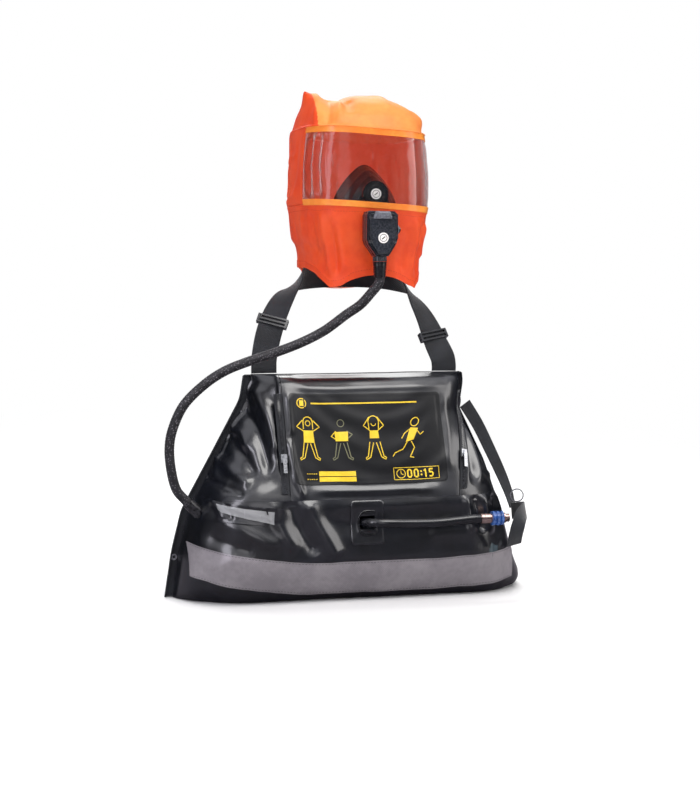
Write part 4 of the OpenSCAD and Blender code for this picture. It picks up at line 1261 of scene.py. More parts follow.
# two bars, with short ruled ticks across their ends
yellow.append(fill(rect(-94, 173.6, -40, 180.2), 4, 24))
yellow.append(fill(rect(-94, 181.4, -40, 188.0), 4, 24))
for z in (177, 184.6):
    for j in range(5):
        yellow.append(stroke([(-112 + 3.2 * j, z), (-110.2 + 3.2 * j, z)], 1.1))
# boxed timer: a clock face with two hands, then a duration
yellow.append(stroke(rect(16, 174, 84, 191), 0.8, True))
yellow.append(stroke(arc(26.5, 182.5, 6.3, 0, 360, 26), 1.0, True))
yellow.append(stroke([(26.5, 182.5), (26.5, 187.2)], 0.9))
yellow.append(stroke([(26.5, 182.5), (30, 180.8)], 0.9))
for char, x in zip("00:15", (36.5, 46.5, 55.8, 60.5, 69)):
    draw_digit(char, x, 177.4)
# emblem and rule across the top
yellow.append(stroke(arc(-112, 283, 6.6, 60, 300, 20), 1.3))
yellow.append(stroke(arc(-112, 283, 6.6, -45, 45, 8), 1.3))
yellow.append(fill(rect(-115, 279, -109, 287), 5, 5))
yellow.append(fill(rect(-98, 282, 60, 284), 3, 50))
print_piece("label_print_yellow", yellow, YELLOW_INK)
print_piece("label_print_grey", grey, GREY_INK)

# ---------- zips on both sides of the flap
ZIP_Z = np.linspace(157, 295, 70)
ZIP_STATION = station_at(ZIP_Z)
TOOTH_PITCH = 1.5


def zip_run(side, start_x, width, teeth_lift):
    """Tape from start_x towards +X, with teeth down its middle."""
    across = np.linspace(0, 1, 8)[None, :]
    x = start_x[:, None] + width * across
    lift = 1.55 + 0.3 * bell(across - 0.5, 0.18)
    shell("zip_tape_" + side, bag_point(x, ZIP_STATION[:, None] + 0 * x, lift), 0.8, "root",
          WEBBING, replaces="zip_tapes")
    middle = bag_point(x[:, 3] * 0.5 + x[:, 4] * 0.5, ZIP_STATION, teeth_lift)
    tangents = unit(np.gradient(middle, axis=0))
    run = run_length(middle)
    teeth = []
    for i, at in enumerate(np.arange(0.8, run[-1], TOOTH_PITCH)):
        tangent = unit(sample(at, run, tangents))
        normal = unit(np.cross((1.0, 0, 0), tangent))
        sideways = np.cross(tangent, normal)
        centre = sample(at, run, middle) + sideways * (-0.8 if i % 2 else 0.8)
        teeth.append(box(centre, sideways, tangent, normal, 1.6, 0.55, 0.55))
    build("zip_teeth_" + side, join(teeth), "root", GLOSS, smooth=False)


zip_run("right", FLAP_RIGHT - 12.5 + 0 * ZIP_Z, 11.3, 2.1 - 0.6 * (1 - ease(175, 225, ZIP_Z)))
zip_run("left", flap_left(ZIP_STATION) + 1.3, 11.0, 2.1)

# ---------- back panel with bound edge
BACK_TOP = 319.5


def back_panel():
    up, across = grid_params(70, 110)
    z = BACK_TOP * up
    x = lookup(z, RIGHT_EDGE) + (lookup(z, LEFT_EDGE) - lookup(z, RIGHT_EDGE)) * across
    y = -1.75 + 0.105 * noise_flat(x, z, 70, 51) * ease(0, 0.06, np.minimum(across, 1 - across))
    shell("bag_back_sheet", np.stack([x, y, z], -1), 1.6, "root", MATT,
          replaces="bag_back_panel")

    z = np.linspace(0, BACK_TOP, 70)

    def crossing(level, from_edge, to_edge, inset, count):
        return np.linspace(lookup(level, from_edge) + inset, lookup(level, to_edge) - inset,
                           count)

    runs = [(lookup(z, RIGHT_EDGE) + 1.3, z),
            (crossing(BACK_TOP, RIGHT_EDGE, LEFT_EDGE, 3, 50), np.full(50, 320.2)),
            (lookup(z[::-1], LEFT_EDGE) - 1.3, z[::-1]),
            (crossing(0, LEFT_EDGE, RIGHT_EDGE, -3, 60), np.full(60, 1.2))]
    path = np.concatenate([np.stack([x, 0 * x - 2.4, z], 1) for x, z in runs])
    path[:, 1] -= 0.3 * noise(path, 40, 61)
    tube("bag_edge_binding", path, 1.0, "root", MATT, sides=12,
         ripple=lambda run, angle: 0.9 * np.abs(np.sin(angle)) ** 2, sharp=38)


back_panel()


def back_pad():
    """Pad quilted in four by four cushions, as wide and tall as the CAD pad."""
    low, high = (np.array(corner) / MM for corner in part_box("back_pad"))
    up, across = grid_params(58, 60)
    quilt = np.minimum(np.abs(np.sin(across * np.pi * 4)), np.abs(np.sin(up * np.pi * 4)))
    gap = least(across, 1 - across, up, 1 - up)
    thick = 2.2 + 3.4 * quilt ** 0.35 * ease(0, 0.05, gap)
    grid = np.stack([low[0] + (high[0] - low[0]) * across, -2.2 - thick,
                     low[2] + (high[2] - low[2]) * up], -1)
    shell("back_pad_quilted", grid, thick - 0.05, "root", FOAM,
          replaces="back_pad", normals=np.broadcast_to(np.array([0, -1.0, 0]), grid.shape))


back_pad()

# ---------- pocket band over the gauge, with its clear window
BAND_RIGHT, BAND_LENGTH = -252, 102
BAND_FOLDS = [
    (4.5, 2.2, (-243, 148), (-236, 136), (-232, 122)),
    (3.5, -1.4, (-228, 147), (-224, 134), (-223, 121)),
    (4, 2.0, (-176, 143), (-172, 130), (-170, 118)),
    (3.5, 1.4, (-162, 142), (-160, 130), (-160, 118)),
]
WINDOW_FOLD = [(-232, 142), (-205, 134), (-180, 128), (-164, 122)]


def gauge_pocket():
    up, across = grid_params(16, 90)
    x = BAND_RIGHT + BAND_LENGTH * across
    z = np.minimum(147 - 10 * across - (1 - up) * (26 - 2 * across), 147.5)
    lift = (2.3 + 0.6 * bell((1 - up) * 26, 3) + 0.7 * noise_flat(x, z, 22, 71)
            + ridges(x, z, BAND_FOLDS))
    shell("gauge_pocket_band", on_lower(x, z, lift), 1.1, "root", COATED,
          replaces="gauge_window")

    up, across = grid_params(12, 44)
    x = -236 + 73 * across
    z = 143.5 - 11 * (x - BAND_RIGHT) / BAND_LENGTH - (1 - up) * (9 + 9 * across)
    lift = 4.3 + ridge(x, z, WINDOW_FOLD, 3.2, 1.6) + 0.6 * noise_flat(x, z, 8, 73)
    shell("gauge_window_film", on_lower(x, np.minimum(z, 147), lift), 0.5, "root",
          WINDOW_FILM)


gauge_pocket()

# ============================================================ hoses
# Supply hose centreline, from the valve on the hood down the wearer's right of the bag
SUPPLY_PATH = [
    (0, -79, 484.6), (0, -79, 474), (0, -79, 464), (0, -79, 458), (-3, -78.5, 451),
    (-12, -77, 440), (-27, -73, 423), (-48, -68, 408), (-78, -64, 386), (-112, -62, 369),
    (-150, -61, 355), (-188, -60, 343), (-222, -60, 330), (-252, -60, 311), (-281, -60, 283),
    (-297, -59, 250), (-302, -57, 221), (-299, -54, 189), (-291, -47, 162), (-278, -43, 146),
    (-262, -43, 130), (-250, -43, 117), (-243, -42.5, 102), (-243, -42, 86)]
# Airline hose centreline, out of the slot and along the front towards +X
AIRLINE_PATH = [
    (-33, -92, 112), (-34, -103, 113), (-30, -114.4, 113.8), (-21, -125, 114.3),
    (-4, -131.6, 114.3), (30, -132, 113), (70, -132, 112.5), (102, -131.5, 114.4),
    (124, -131.5, 116), (135.9, -131.5, 116)]


def braid(run, angle):
    """Two sets of crossing strands, one turn of the pattern in 9 mm."""
    twist = 2 * np.pi / 9.0 * run
    strands = np.maximum(np.abs(np.sin(6 * angle + twist)), np.abs(np.sin(6 * angle - twist)))
    return -0.42 + 0.5 * strands ** 1.5


supply_hose = tube("supply_hose_braided", refine(SUPPLY_PATH, 36), 6.9, None,
                   BRAID, sides=36, ripple=braid, replaces="supply_hose", sharp=0)
tube("airline_hose_smooth", refine(AIRLINE_PATH, 12), 6.5, "root", AIRLINE,
     sides=28, ref=(0, 0, 1), replaces="airline_hose",
     ripple=lambda run, angle: 0.06 * np.sin(run * 0.9) * np.cos(2 * angle))


def hose_boot():
    """A tapered, ringed sleeve round the hose's upper end."""
    sides = 32
    z = np.linspace(484.6, 462, 60)
    rings = 0.21 * np.sign(np.sin((z - 462) * 1.9)) * (z < 480)
    outer_radius = np.interp(z, [462, 484.6], [8.4, 10.2]) + rings
    path = np.stack([0 * z, 0 * z - 79, z], 1)
    verts, faces, uvs = tube_mesh(path, outer_radius, sides, caps=False)
    bore_verts, bore_faces, bore_uvs = tube_mesh(path, 7.15, sides, caps=False)
    n = len(verts)
    faces = faces + [[i + n for i in f[::-1]] for f in bore_faces]
    last = n - sides
    for j in range(sides):
        d = (j + 1) % sides
        faces.append([d, j, n + j, n + d])
        faces.append([last + j, last + d, n + last + d, n + last + j])
    mesh = np.concatenate([verts, bore_verts]), faces, np.concatenate([uvs, bore_uvs])
    build("hose_boot_ringed", mesh, "hood", RUBBER, replaces="hose_boot",
          sharp=30)


hose_boot()

# ============================================================ straps
# Stations along each strap: x, y, z, then the face's normal
NECK_STRAP = [
    (-153.4, -1.4, 322.6, 0, -1, 0), (-153.4, -1.4, 331, 0, -1, 0),
    (-152, 2, 346, -0.03, -1, 0.1), (-144, 11, 377, -0.12, -0.92, 0.3),
    (-131, 24, 407, -0.28, -0.75, 0.55), (-115, 37, 432, -0.42, -0.5, 0.75),
    (-99, 51, 448, -0.58, -0.15, 0.78), (-85, 72, 457, -0.78, 0.25, 0.5),
    (-68, 99, 462, -0.72, 0.65, 0.2), (-38, 119, 465, -0.38, 0.92, 0.08),
    (0, 126, 466, 0, 1, 0.05), (38, 119, 465, 0.38, 0.92, 0.08),
    (66, 99, 461, 0.72, 0.65, 0.2), (79, 73, 453, 0.8, 0.2, 0.5),
    (86, 54, 440, 0.68, -0.2, 0.7), (94, 39, 421, 0.5, -0.6, 0.62),
    (104, 25, 396, 0.35, -0.82, 0.4), (113, 10, 365, 0.12, -0.98, 0.12),
    (120, 0, 344, 0.03, -1, 0), (122, -1.4, 332, 0, -1, 0), (122, -1.4, 322.4, 0, -1, 0)]
SIDE_STRAP = [
    (152, -12, 273.5, 0.2, -0.97, 0.1), (172, -13, 242, 0.25, -0.95, 0.1),
    (192, -13, 203, 0.3, -0.93, 0.15), (209, -16, 166, 0.4, -0.9, 0.15),
    (219, -21.5, 138, 0.55, -0.82, 0.15), (224, -26.5, 116, 0.7, -0.7, 0.1)]
COUPLING_TAB = [
    (219, -36, 112, 1, 0.05, 0), (224, -62, 117, 1, 0.02, 0.1),
    (219, -92, 121, 0.95, -0.25, 0.15), (207, -120, 122, 0.85, -0.5, 0.25),
    (195, -138, 116, 0.6, -0.7, 0.4), (189, -143, 104, 0.3, -0.95, 0.1),
    (187, -139, 90, 0.2, -0.96, -0.2), (188, -130, 76, 0.2, -0.94, -0.3)]
NECK_STRAP_WIDTH = 38


def strap_curve(stations, steps):
    curve = refine(stations, steps)
    return curve[:, :3], unit(curve[:, 3:])


neck_path, neck_normals = strap_curve(NECK_STRAP, 14)
strap("neck_strap_webbing", neck_path, neck_normals, NECK_STRAP_WIDTH, 2.4, "root",
      "neck_strap")
neck_side, neck_face = ribbon_frames(neck_path, neck_normals)
for letter, share in (("a", 0.40), ("b", -0.40)):
    stitches("neck_strap_stitch_" + letter,
             neck_path + neck_side * NECK_STRAP_WIDTH * share + neck_face * 1.2,
             neck_face, length=3.0, gap=1.6, radius=0.24)
strap("side_strap_webbing", *strap_curve(SIDE_STRAP, 14), 20, 2, "root", "side_strap")
strap("coupling_tab_webbing", *strap_curve(COUPLING_TAB, 12), 24, 2, "root", "coupling_tab")

# ============================================================ hood
# Angles run round the hood in degrees: 0 at +X, 90 at the back, 180 at -X, 270 at the front.
# The hood's section by height: z, half width; z, front y; z, back y
HALF_WIDTH = smooth_table([
    (430, 80), (480, 82), (530, 89), (570, 98), (620, 97), (660, 93), (676, 91), (700, 82),
    (715, 66), (726, 42), (731, 18)], 8)
FRONT_Y = smooth_table([
    (430, -58), (480, -60), (530, -62), (570, -64), (660, -64), (676, -63), (700, -48),
    (715, -26), (726, 4), (731, 30)], 5)
BACK_Y = smooth_table([
    (430, 146), (480, 150), (530, 166), (570, 184), (650, 190), (676, 188), (700, 174),
    (715, 150), (726, 118), (731, 84)], 8)
# The skirt's lower edge: angle, z
HEM = [(0, 478), (20, 478), (35, 472), (60, 454), (90, 446), (120, 454), (145, 472),
       (160, 478), (185, 476), (200, 469), (215, 458), (228, 449), (245, 452), (270, 466),
       (295, 452), (312, 447), (325, 456), (340, 470), (360, 478)]
HOOD_Y = 60.0  # y of the hood's middle
LEAN = 0.06  # drop in z per millimetre towards +X
WALL_LOW, WALL_HIGH = 562.0, 674.0  # z of the visor's lower and upper seams
DEGREE_MM = 1.6  # length of one degree round the hood, for folds and noise
CUFF_Z, CUFF_TILT = 500, 6.5  # neck seal's height, and its rise towards the back
HOOD_CLOTH = 1.1  # thickness of the hood's fabric
PORT_CENTRE, PORT_RADIUS = np.array([0, 540]), 12.2  # x, z


def hood_point(angle, z):
    angle, z = np.broadcast_arrays(np.asarray(angle, float), np.asarray(z, float))
    sine, cosine = np.sin(np.radians(angle)), np.cos(np.radians(angle))
    sine = np.sign(sine) * np.abs(sine) ** 0.55
    cosine = np.sign(cosine) * np.abs(cosine) ** 0.5
    front, back = lookup(z, FRONT_Y), lookup(z, BACK_Y)
    y = HOOD_Y + np.where(sine < 0, HOOD_Y - front, back - HOOD_Y) * sine
    narrowing = 1 - np.where(sine < 0, 0.06, 0.2) * sine * sine
    x = lookup(z, HALF_WIDTH) * cosine * narrowing
    return np.stack([x, y, z - LEAN * x * ease(440, 556, z)], -1)


def even_angles(z, n, start=0.0, end=360.0, closed=True):
    """Angles that give even spacing round the hood's section."""
    angles = np.linspace(start, end, 2401)
    run = run_length(hood_point(angles, z))
    even = np.interp(np.linspace(0, run[-1], n + 1 if closed else n), run, angles)
    return even[:-1] if closed else even


def hood_folds(angle, z, folds):
    """Folds whose points are (angle, z)."""
    scaled = [(width, height, *((a * DEGREE_MM, b) for a, b in path))
              for width, height, *path in folds]
    return ridges(angle * DEGREE_MM, z, scaled)


def paint_inside_light(obj, centre):
    """Gives the faces that look towards the hood's middle a paler orange: painted light for the
    light let in through the visor.
    """
    obj.data.materials.append(HOOD_INSIDE_PAINTED_LIGHT)
    index = len(obj.data.materials) - 1
    for face in obj.data.polygons:
        offset = np.array(face.center) / MM - np.array(centre)
        if np.dot(offset / np.linalg.norm(offset), np.array(face.normal)) < -0.15:
            face.material_index = index


# ---------- skirt, with a round port where the valve passes through
SKIRT_FOLDS = [
    (8, 4.0, (222, 556), (226, 510), (230, 460)), (8, -3.0, (236, 550), (238, 500), (240, 462)),
    (9, 2.6, (250, 552), (247, 512), (250, 470)), (9, 3.2, (300, 555), (304, 510), (300, 462)),
    (8, -3.0, (288, 540), (286, 500), (284, 470)),
    (7, -3.0, (315, 552), (318, 512), (316, 464)),
    (7, 3.6, (325, 550), (328, 515), (330, 490)), (9, -3.4, (205, 556), (208, 520), (206, 488)),
    (9, 3.4, (190, 550), (188, 520), (186, 492)), (9, 3.4, (20, 552), (24, 520), (22, 492)),
    (9, -3.0, (0, 548), (2, 520), (0, 492)), (12, 4.0, (50, 550), (56, 500), (60, 452)),
    (12, -4.0, (80, 550), (84, 500), (82, 440)), (12, 4.0, (110, 550), (112, 500), (108, 444)),
    (12, -4.0, (150, 550), (148, 515), (146, 486)),
    (7, 1.8, (236, 470), (260, 482), (286, 472)),
]
SKIRT_ANGLES = even_angles(520, 200)


def skirt():
    up, _ = grid_params(40, 200)
    angle = SKIRT_ANGLES[None] + 0 * up
    round_hood = SKIRT_ANGLES * DEGREE_MM
    hem = lookup(SKIRT_ANGLES, HEM) + 2.2 * noise_flat(round_hood, 0 * round_hood, 26, 81)
    z = hem[None] + (WALL_LOW - hem[None]) * up
    grid = hood_point(angle, z)
    from_port = (angle - 270) * DEGREE_MM
    fade = ease(-0.02, 0.16, 1 - up) * (1 - bell(from_port, 34) * ease(505, 520, z))
    bumps = hood_folds(angle, z, SKIRT_FOLDS) + 1.1 * noise(grid, 26, 83)
    grid = grid + grid_normals(grid, True) * (bumps * fade)[..., None]
    # held along the top seam, round the port and at the neck seal
    pin = np.clip(1 - (1 - up) / 0.10, 0, 1)
    pin = np.maximum(pin, bell(from_port, 30) * ease(500, 516, z))
    cuff = bell(z - CUFF_Z - CUFF_TILT * np.sin(np.radians(angle)), 8)
    pin = np.maximum(np.maximum(pin, 0.9 * cuff), 0.03)
    grid = settle(grid, pin, frames=14, grow=0.03, gravity=0.4, cap=5.0, bend=0.5, wrap=True)
    grid = refine_grid(grid, True)
    from_hem = np.linalg.norm(grid - grid[:1], axis=2)
    normals = grid_normals(grid, True)
    # the cloth stands out where it is doubled at the hem and the top seam
    below_seam = WALL_LOW - grid[..., 2] - LEAN * grid[..., 0]
    doubled = 0.5 * (1 - ease(9.5, 11, from_hem)) + 0.5 * (1 - ease(0, 9, below_seam))
    grid = grid + normals * doubled[..., None]
    mesh = punched_shell(grid, HOOD_CLOTH, PORT_CENTRE,
                         lambda offset: np.hypot(offset[..., 0], offset[..., 1]) / PORT_RADIUS,
                         front_y=0, wrap=True)
    obj = build("hood_skirt_fabric", mesh, "hood", ORANGE,
                replaces="hood_skirt")
    paint_inside_light(obj, (0, HOOD_Y, 510))
    below_seam = WALL_LOW - grid[..., 2] - LEAN * grid[..., 0]
    for name, miss in (("hem", from_hem - 9.0), ("top", below_seam - 8)):
        rows = np.abs(miss).argmin(0)
        cols = np.arange(grid.shape[1])
        path, out = grid[rows, cols], normals[rows, cols]
        stitches("skirt_stitch_" + name, np.concatenate([path, path[:1]]),
                 np.concatenate([out, out[:1]]), length=2.6, gap=1.5, radius=0.25,
                 body="hood", mat=ORANGE_THREAD, lift=0.1)
    return grid


SKIRT = skirt()

# ---------- side and back panel, and visor
BACK_FOLDS = [
    (7, 3.6, (176, 668), (178, 620), (181, 568)), (9, -4.0, (160, 666), (164, 620), (168, 570)),
    (12, 4.0, (140, 666), (146, 620), (150, 570)),
    (14, -3.4, (110, 664), (112, 620), (108, 572)),
    (14, 4.0, (80, 666), (76, 620), (80, 572)), (12, -3.6, (50, 664), (46, 620), (44, 570)),
    (10, 3.8, (20, 666), (16, 620), (14, 570)), (7, -3.2, (2, 664), (0, 620), (0, 570)),
    (6, 2.0, (184, 640), (170, 632), (150, 640)), (9, 2.0, (150, 600), (110, 590), (70, 600)),
]
VISOR_FOLDS = [
    (3.2, 3.2, (216, 672), (214, 620), (217, 566)),
    (3.0, -3.0, (222, 672), (220, 620), (224, 566)),
    (3.6, 2.4, (228, 670), (227, 620), (231, 566)),
    (4.0, -2.8, (208, 670), (207, 620), (209, 566)),
    (4.0, 2.2, (200, 668), (200, 620), (201, 568)),
    (4, 2.2, (324, 670), (326, 620), (322, 566)), (5, -2.6, (334, 670), (336, 620), (333, 566)),
]


def wall_grid(start, end, folds, rough, rough_size, seed, row_fade):
    """A folded piece of the hood's wall between two angles, with its row and column shares."""
    up, across = grid_params(40, 120)
    angle = even_angles(620, 120, start, end, closed=False)[None] + 0 * up
    z = WALL_LOW + 0.8 + (WALL_HIGH - WALL_LOW - 0.6) * up
    grid = hood_point(angle, z)
    bumps = hood_folds(angle, z, folds) + rough * noise(grid, rough_size, seed)
    fade = fade_ends(up, row_fade) * fade_ends(across, 0.03)
    return grid + grid_normals(grid) * (bumps * fade)[..., None], up, across


def back_wall():
    grid, up, across = wall_grid(-13, 193, BACK_FOLDS, 1.2, 30, 91, row_fade=0.1)
    gap = least(up, 1 - up, 2 * across, 2 * (1 - across))
    grid = settle(grid, pin_edges(gap, 0.12, 0.03), frames=14, grow=0.025, gravity=0.6,
                  cap=6.0, bend=0.5)
    obj = shell("hood_back_fabric", refine_grid(grid), HOOD_CLOTH, "hood",
                ORANGE, replaces="hood_back")
    paint_inside_light(obj, (0, HOOD_Y, 618))


back_wall()
visor_grid, _, _ = wall_grid(194, 346, VISOR_FOLDS, 0.5, 34, 95, row_fade=0.08)
shell("visor_film_sheet", refine_grid(visor_grid), 0.6, "hood", VISOR_FILM,
      replaces="visor")

# ---------- crown
# Rise of the dome: share from rim to top, z
CROWN_RISE = [(0, WALL_HIGH + 0.6), (.12, 683), (.28, 695), (.45, 708), (.6, 717), (.75, 725),
              (.88, 729.6), (1.0, 731)]
# Folds seen from above: width, height, then (x, y) points
CROWN_FOLDS = [
    (6, 4.5, (-84, -40), (-72, 0), (-62, 60), (-58, 110)),
    (6, -5.0, (-70, -52), (-58, -10), (-44, 40)), (5, 3.0, (-52, -54), (-46, -30), (-40, -8)),
    (6, -2.2, (-36, -50), (-32, -24), (-26, 0)),
    (7, 1.6, (96, -44), (86, 0), (74, 60), (62, 120)), (9, -1.8, (78, -50), (66, 0), (54, 50)),
    (11, 3.0, (-40, 120), (0, 130), (44, 118)), (12, -2.4, (-30, 90), (10, 84), (40, 92)),
    (12, 2.2, (20, -50), (26, -10), (22, 40)),
]
CROWN_CENTRE = np.array([0, 58.0])  # x, y where the dome closes
CLOSE_FROM = 0.80  # share from which the rings shrink to the centre


def crown():
    rows = 44
    up, _ = grid_params(rows, 200)
    angles = even_angles(690, 200)
    angle = angles[None] + 0 * up
    grid = hood_point(angle, lookup(up, CROWN_RISE))
    last_ring = hood_point(angles, 727.0)
    for i, share in enumerate(up[:, 0]):
        if share > CLOSE_FROM:
            k = (share - CLOSE_FROM) / (1 - CLOSE_FROM)
            spread = (last_ring[:, :2] - CROWN_CENTRE) * (1 - 0.985 * k)
            grid[i, :, :2] = CROWN_CENTRE + spread
            grid[i, :, 2] = 727.0 + 5.0 * (1 - (1 - k) ** 2)

    # an ear on the -X side, a pulled corner at the front of the +X side, a notch between
    x, y, z = grid[..., 0], grid[..., 1], grid[..., 2]
    ear = np.exp(-np.hypot(np.abs(x + 68) / 12, np.abs(y - 52) / 34) ** 1.35)
    ear = ear * ease(688, 716, z)
    broad = ease(682, 712, z) * ease(-10, 50, x)
    corner = (ease(45, 85, x) * ease(0, 70, 30 - y) * ease(676, 690, z)
              * (1 - 0.5 * ease(700, 722, z)))
    notch = bell(x + 33, 12) * ease(702, 724, z)
    dome = bell(x - 6, 44) * ease(690, 728, z)
    grid[..., 2] += 24 * ear + 1.5 * corner - 5 * notch + 4 * dome
    grid[..., 0] += 13 * broad - 12 * ear + 8 * corner

    bumps = ridges(grid[..., 0], grid[..., 1], CROWN_FOLDS) + 1.0 * noise(grid, 26, 101)
    brim = bell(up, 0.05) * ease(0, 0.3, -np.sin(np.radians(angle)))
    lift = bumps * fade_ends(up, 0.10, 0.06) + 2.4 * brim
    start = grid + grid_normals(grid, True) * lift[..., None]
    pin = np.maximum(np.clip(1 - up / 0.10, 0, 1), 0.05)
    move = settle(start, pin, frames=12, grow=0.02, gravity=0.6, cap=4.0, bend=0.5,
                  wrap=True) - start
    # the tightly closed rings at the top move as one
    together = ease(0.78, 0.92, up)[..., None]
    common = move[int(CLOSE_FROM * rows)].mean(0)
    grid = start + move * (1 - together) + common * together
    obj = shell("hood_crown_fabric", refine_grid(grid, True), HOOD_CLOTH, "hood",
                CROWN_PAINTED_LIGHT, wrap=True, replaces="hood_crown")
    # the crown is painted a lighter orange as painted light on its top; its -X side, the side
    # panel, keeps the hood's plain orange, so it reads darker than the lit top
    obj.data.materials.append(ORANGE)
    for face in obj.data.polygons:
        centre = face.center / MM
        if centre.x < -80 + (centre.y + 45) * 0.10:
            face.material_index = 1
    paint_inside_light(obj, (0, HOOD_Y, 650))


crown()


# ---------- tapes over the visor's seams
def level_tape(name, middle_z, half_height):
    up, _ = grid_params(9, 180, -1.0, 1.0)
    angle = even_angles(620, 180, 196, 344, closed=False)[None] + 0 * up
    wobble = 0.6 * noise_flat(angle * DEGREE_MM, 0 * angle, 30, 111)
    grid = hood_point(angle, middle_z + up * half_height + wobble)
    lift = 1.1 + 0.5 * bell(np.abs(up) - 0.85, 0.1)
    shell("visor_seam_" + name, grid + grid_normals(grid) * lift[..., None], 0.7, "hood",
          TAPE)


def upright_tape(name, middle_angle):
    across = np.linspace(-4.5, 4.5, 9)
    angles = np.linspace(middle_angle - 8, middle_angle + 8, 400)
    rows = []
    for z in np.linspace(WALL_LOW + 1, WALL_HIGH - 1, 60):
        ring = hood_point(angles, z)
        run = run_length(ring)
        rows.append(sample(np.interp(middle_angle, angles, run) + across, run, ring))
    grid = np.array(rows)
    shell("visor_seam_" + name, grid + grid_normals(grid) * 1.1, 0.7, "hood",
          ORANGE)


level_tape("top", WALL_HIGH - 3.0, 5.0)
level_tape("bottom", WALL_LOW + 3.6, 4.4)
upright_tape("right", 193.6)
upright_tape("left", 346.4)

# ---------- neck seal
# Cuff profile: share of the way from the skirt to the neck opening, z
CUFF_PROFILE = [(0, 500), (0.15, 499.3), (0.3, 498.6), (0.5, 497.9), (0.7, 497.2),
                (0.85, 496.7), (0.96, 496.4), (1.0, 496.9), (1.005, 499), (1.0, 502),
                (1.0, 505)]


def neck_seal():
    degrees = np.linspace(0, 360, 97)[:-1]
    cosine, sine = np.cos(np.radians(degrees)), np.sin(np.radians(degrees))
    count = len(SKIRT_ANGLES)
    column_angles = np.interp(np.arange(2 * count) / 2, np.arange(count + 1),
                              np.concatenate([SKIRT_ANGLES, [SKIRT_ANGLES[0] + 360]]))
    normals = grid_normals(SKIRT, True)
    edge = []
    for angle in degrees:
        col = int(np.argmin(np.abs((column_angles - angle + 180) % 360 - 180)))
        level = CUFF_Z + CUFF_TILT * math.sin(math.radians(angle))
        row = int(np.argmin(np.abs(SKIRT[:, col, 2] - level)))
        edge.append(SKIRT[row, col] - normals[row, col] * 2.0)
    edge = np.array(edge)
    opening = np.stack([52 * cosine, HOOD_Y + 6 + 58 * sine, 0 * degrees], 1)
    rows = []
    for share, z in CUFF_PROFILE:
        ring = edge * (1 - share) + opening * share
        gathers = 0.5 * np.sin(np.radians(degrees) * 18) * (0.2 < share < 0.95)
        ring[:, 2] = z + CUFF_TILT * sine + gathers
        rows.append(ring)
    shell("neck_seal_cuff", np.array(rows)[:, ::-1], 1.3, "hood", SEAL,
          wrap=True, replaces="neck_seal")


neck_seal()

# ---------- half mask: narrow at the nose, with a lip at the face side
# Sections from face to front: y, half width, half height, middle z
MASK_SECTIONS = [
    (10, 45, 59, 564.2), (8.6, 48.6, 62.6, 564.2), (4, 49.4, 63.2, 564.2), (0, 47.6, 61.6, 564),
    (-8, 44.6, 58.6, 563.8), (-16, 42, 55.6, 563.5), (-26, 37.2, 51, 563),
    (-34, 32.5, 46, 562.7), (-41, 28.5, 41.5, 562.3), (-46, 25, 38, 562)]


def half_mask():
    angle = np.radians(np.linspace(0, 360, 97)[:-1])
    narrowing = 1 - 0.44 * np.maximum(np.sin(angle), 0) ** 1.5
    grid = np.array([
        np.stack([half_width * np.cos(angle) * narrowing, y + 0 * angle,
                  middle_z + half_height * np.sin(angle)], 1)
        for y, half_width, half_height, middle_z in refine(MASK_SECTIONS, 4)])
    ribs = 0.8 * bell(grid[..., 1] + 20, 3) + 0.5 * bell(grid[..., 1] + 34, 2.4)
    normals = grid_normals(grid, True)
    outward = np.sign((normals * (grid - np.array([0, -20, 562]))).sum(-1).mean())
    shell("half_mask_rubber", grid + normals * ribs[..., None] * outward, 2.2, "hood",
          RUBBER, wrap=True, replaces="half_mask")


half_mask()

# Head strap from clip to clip round the back: x, y, z
HEAD_STRAP = [(-53, -2, 546), (-74, 18, 546), (-82, 55, 547), (-76, 100, 549), (-48, 140, 551),
              (0, 156, 552), (48, 140, 551), (76, 100, 549), (82, 55, 547), (74, 18, 546),
              (53, -2, 546)]
head_path = refine(HEAD_STRAP, 12)
strap("head_strap_elastic", head_path, unit((head_path - (0, HOOD_Y, 0)) * (1, 1, 0)), 18, 1.4,
      "hood", "head_strap")


# ---------- exhalation cover and disc marks
def front_ring(name, x, y, z, radius, wire, mat, body="hood"):
    """A ring that faces the front."""
    angle = circle(64)
    path = np.stack([x + radius * np.cos(angle), y + 0 * angle, z + radius * np.sin(angle)], 1)
    loop_tube(name, path, wire, mat, body)


EXHALE_Z = 582
cover_ribs = []
for k in range(28):
    turn = 2 * np.pi * k / 28
    outward = np.array([math.cos(turn), 0, math.sin(turn)])
    cover_ribs.append(bead(np.array([0, -53.6, EXHALE_Z]) + 19.1 * outward,
                           (0, -1.0, 0), outward, 7.6, 0.9))
build("exhale_cover_ribs", join(cover_ribs), "hood", GLOSS)
front_ring("exhale_cover_ring", 0, -59.5, EXHALE_Z, 12.4, 0.7, GLOSS)
# a ring and a slanted bar on each pale disc
for name, y, z, radius, body in (("exhale", -59.75, EXHALE_Z, 7.0, "hood"),
                                 ("purge", -98.65, 518, 6.9, "purge")):
    front_ring(name + "_disc_mark_ring", 0, y, z, radius * 0.74, 0.42, MARK, body)
    bar = box((0, y, z), (0.8, 0, 0.6), (0, 1, 0), (-0.6, 0, 0.8), radius * 0.42, 0.22, 0.75)
    build(name + "_disc_mark_bar", join([bar]), body, MARK, smooth=False)

# ---------- springs: a coiled wire in place of each CAD spring
X_AXIS, Y_AXIS, Z_AXIS = np.eye(3)
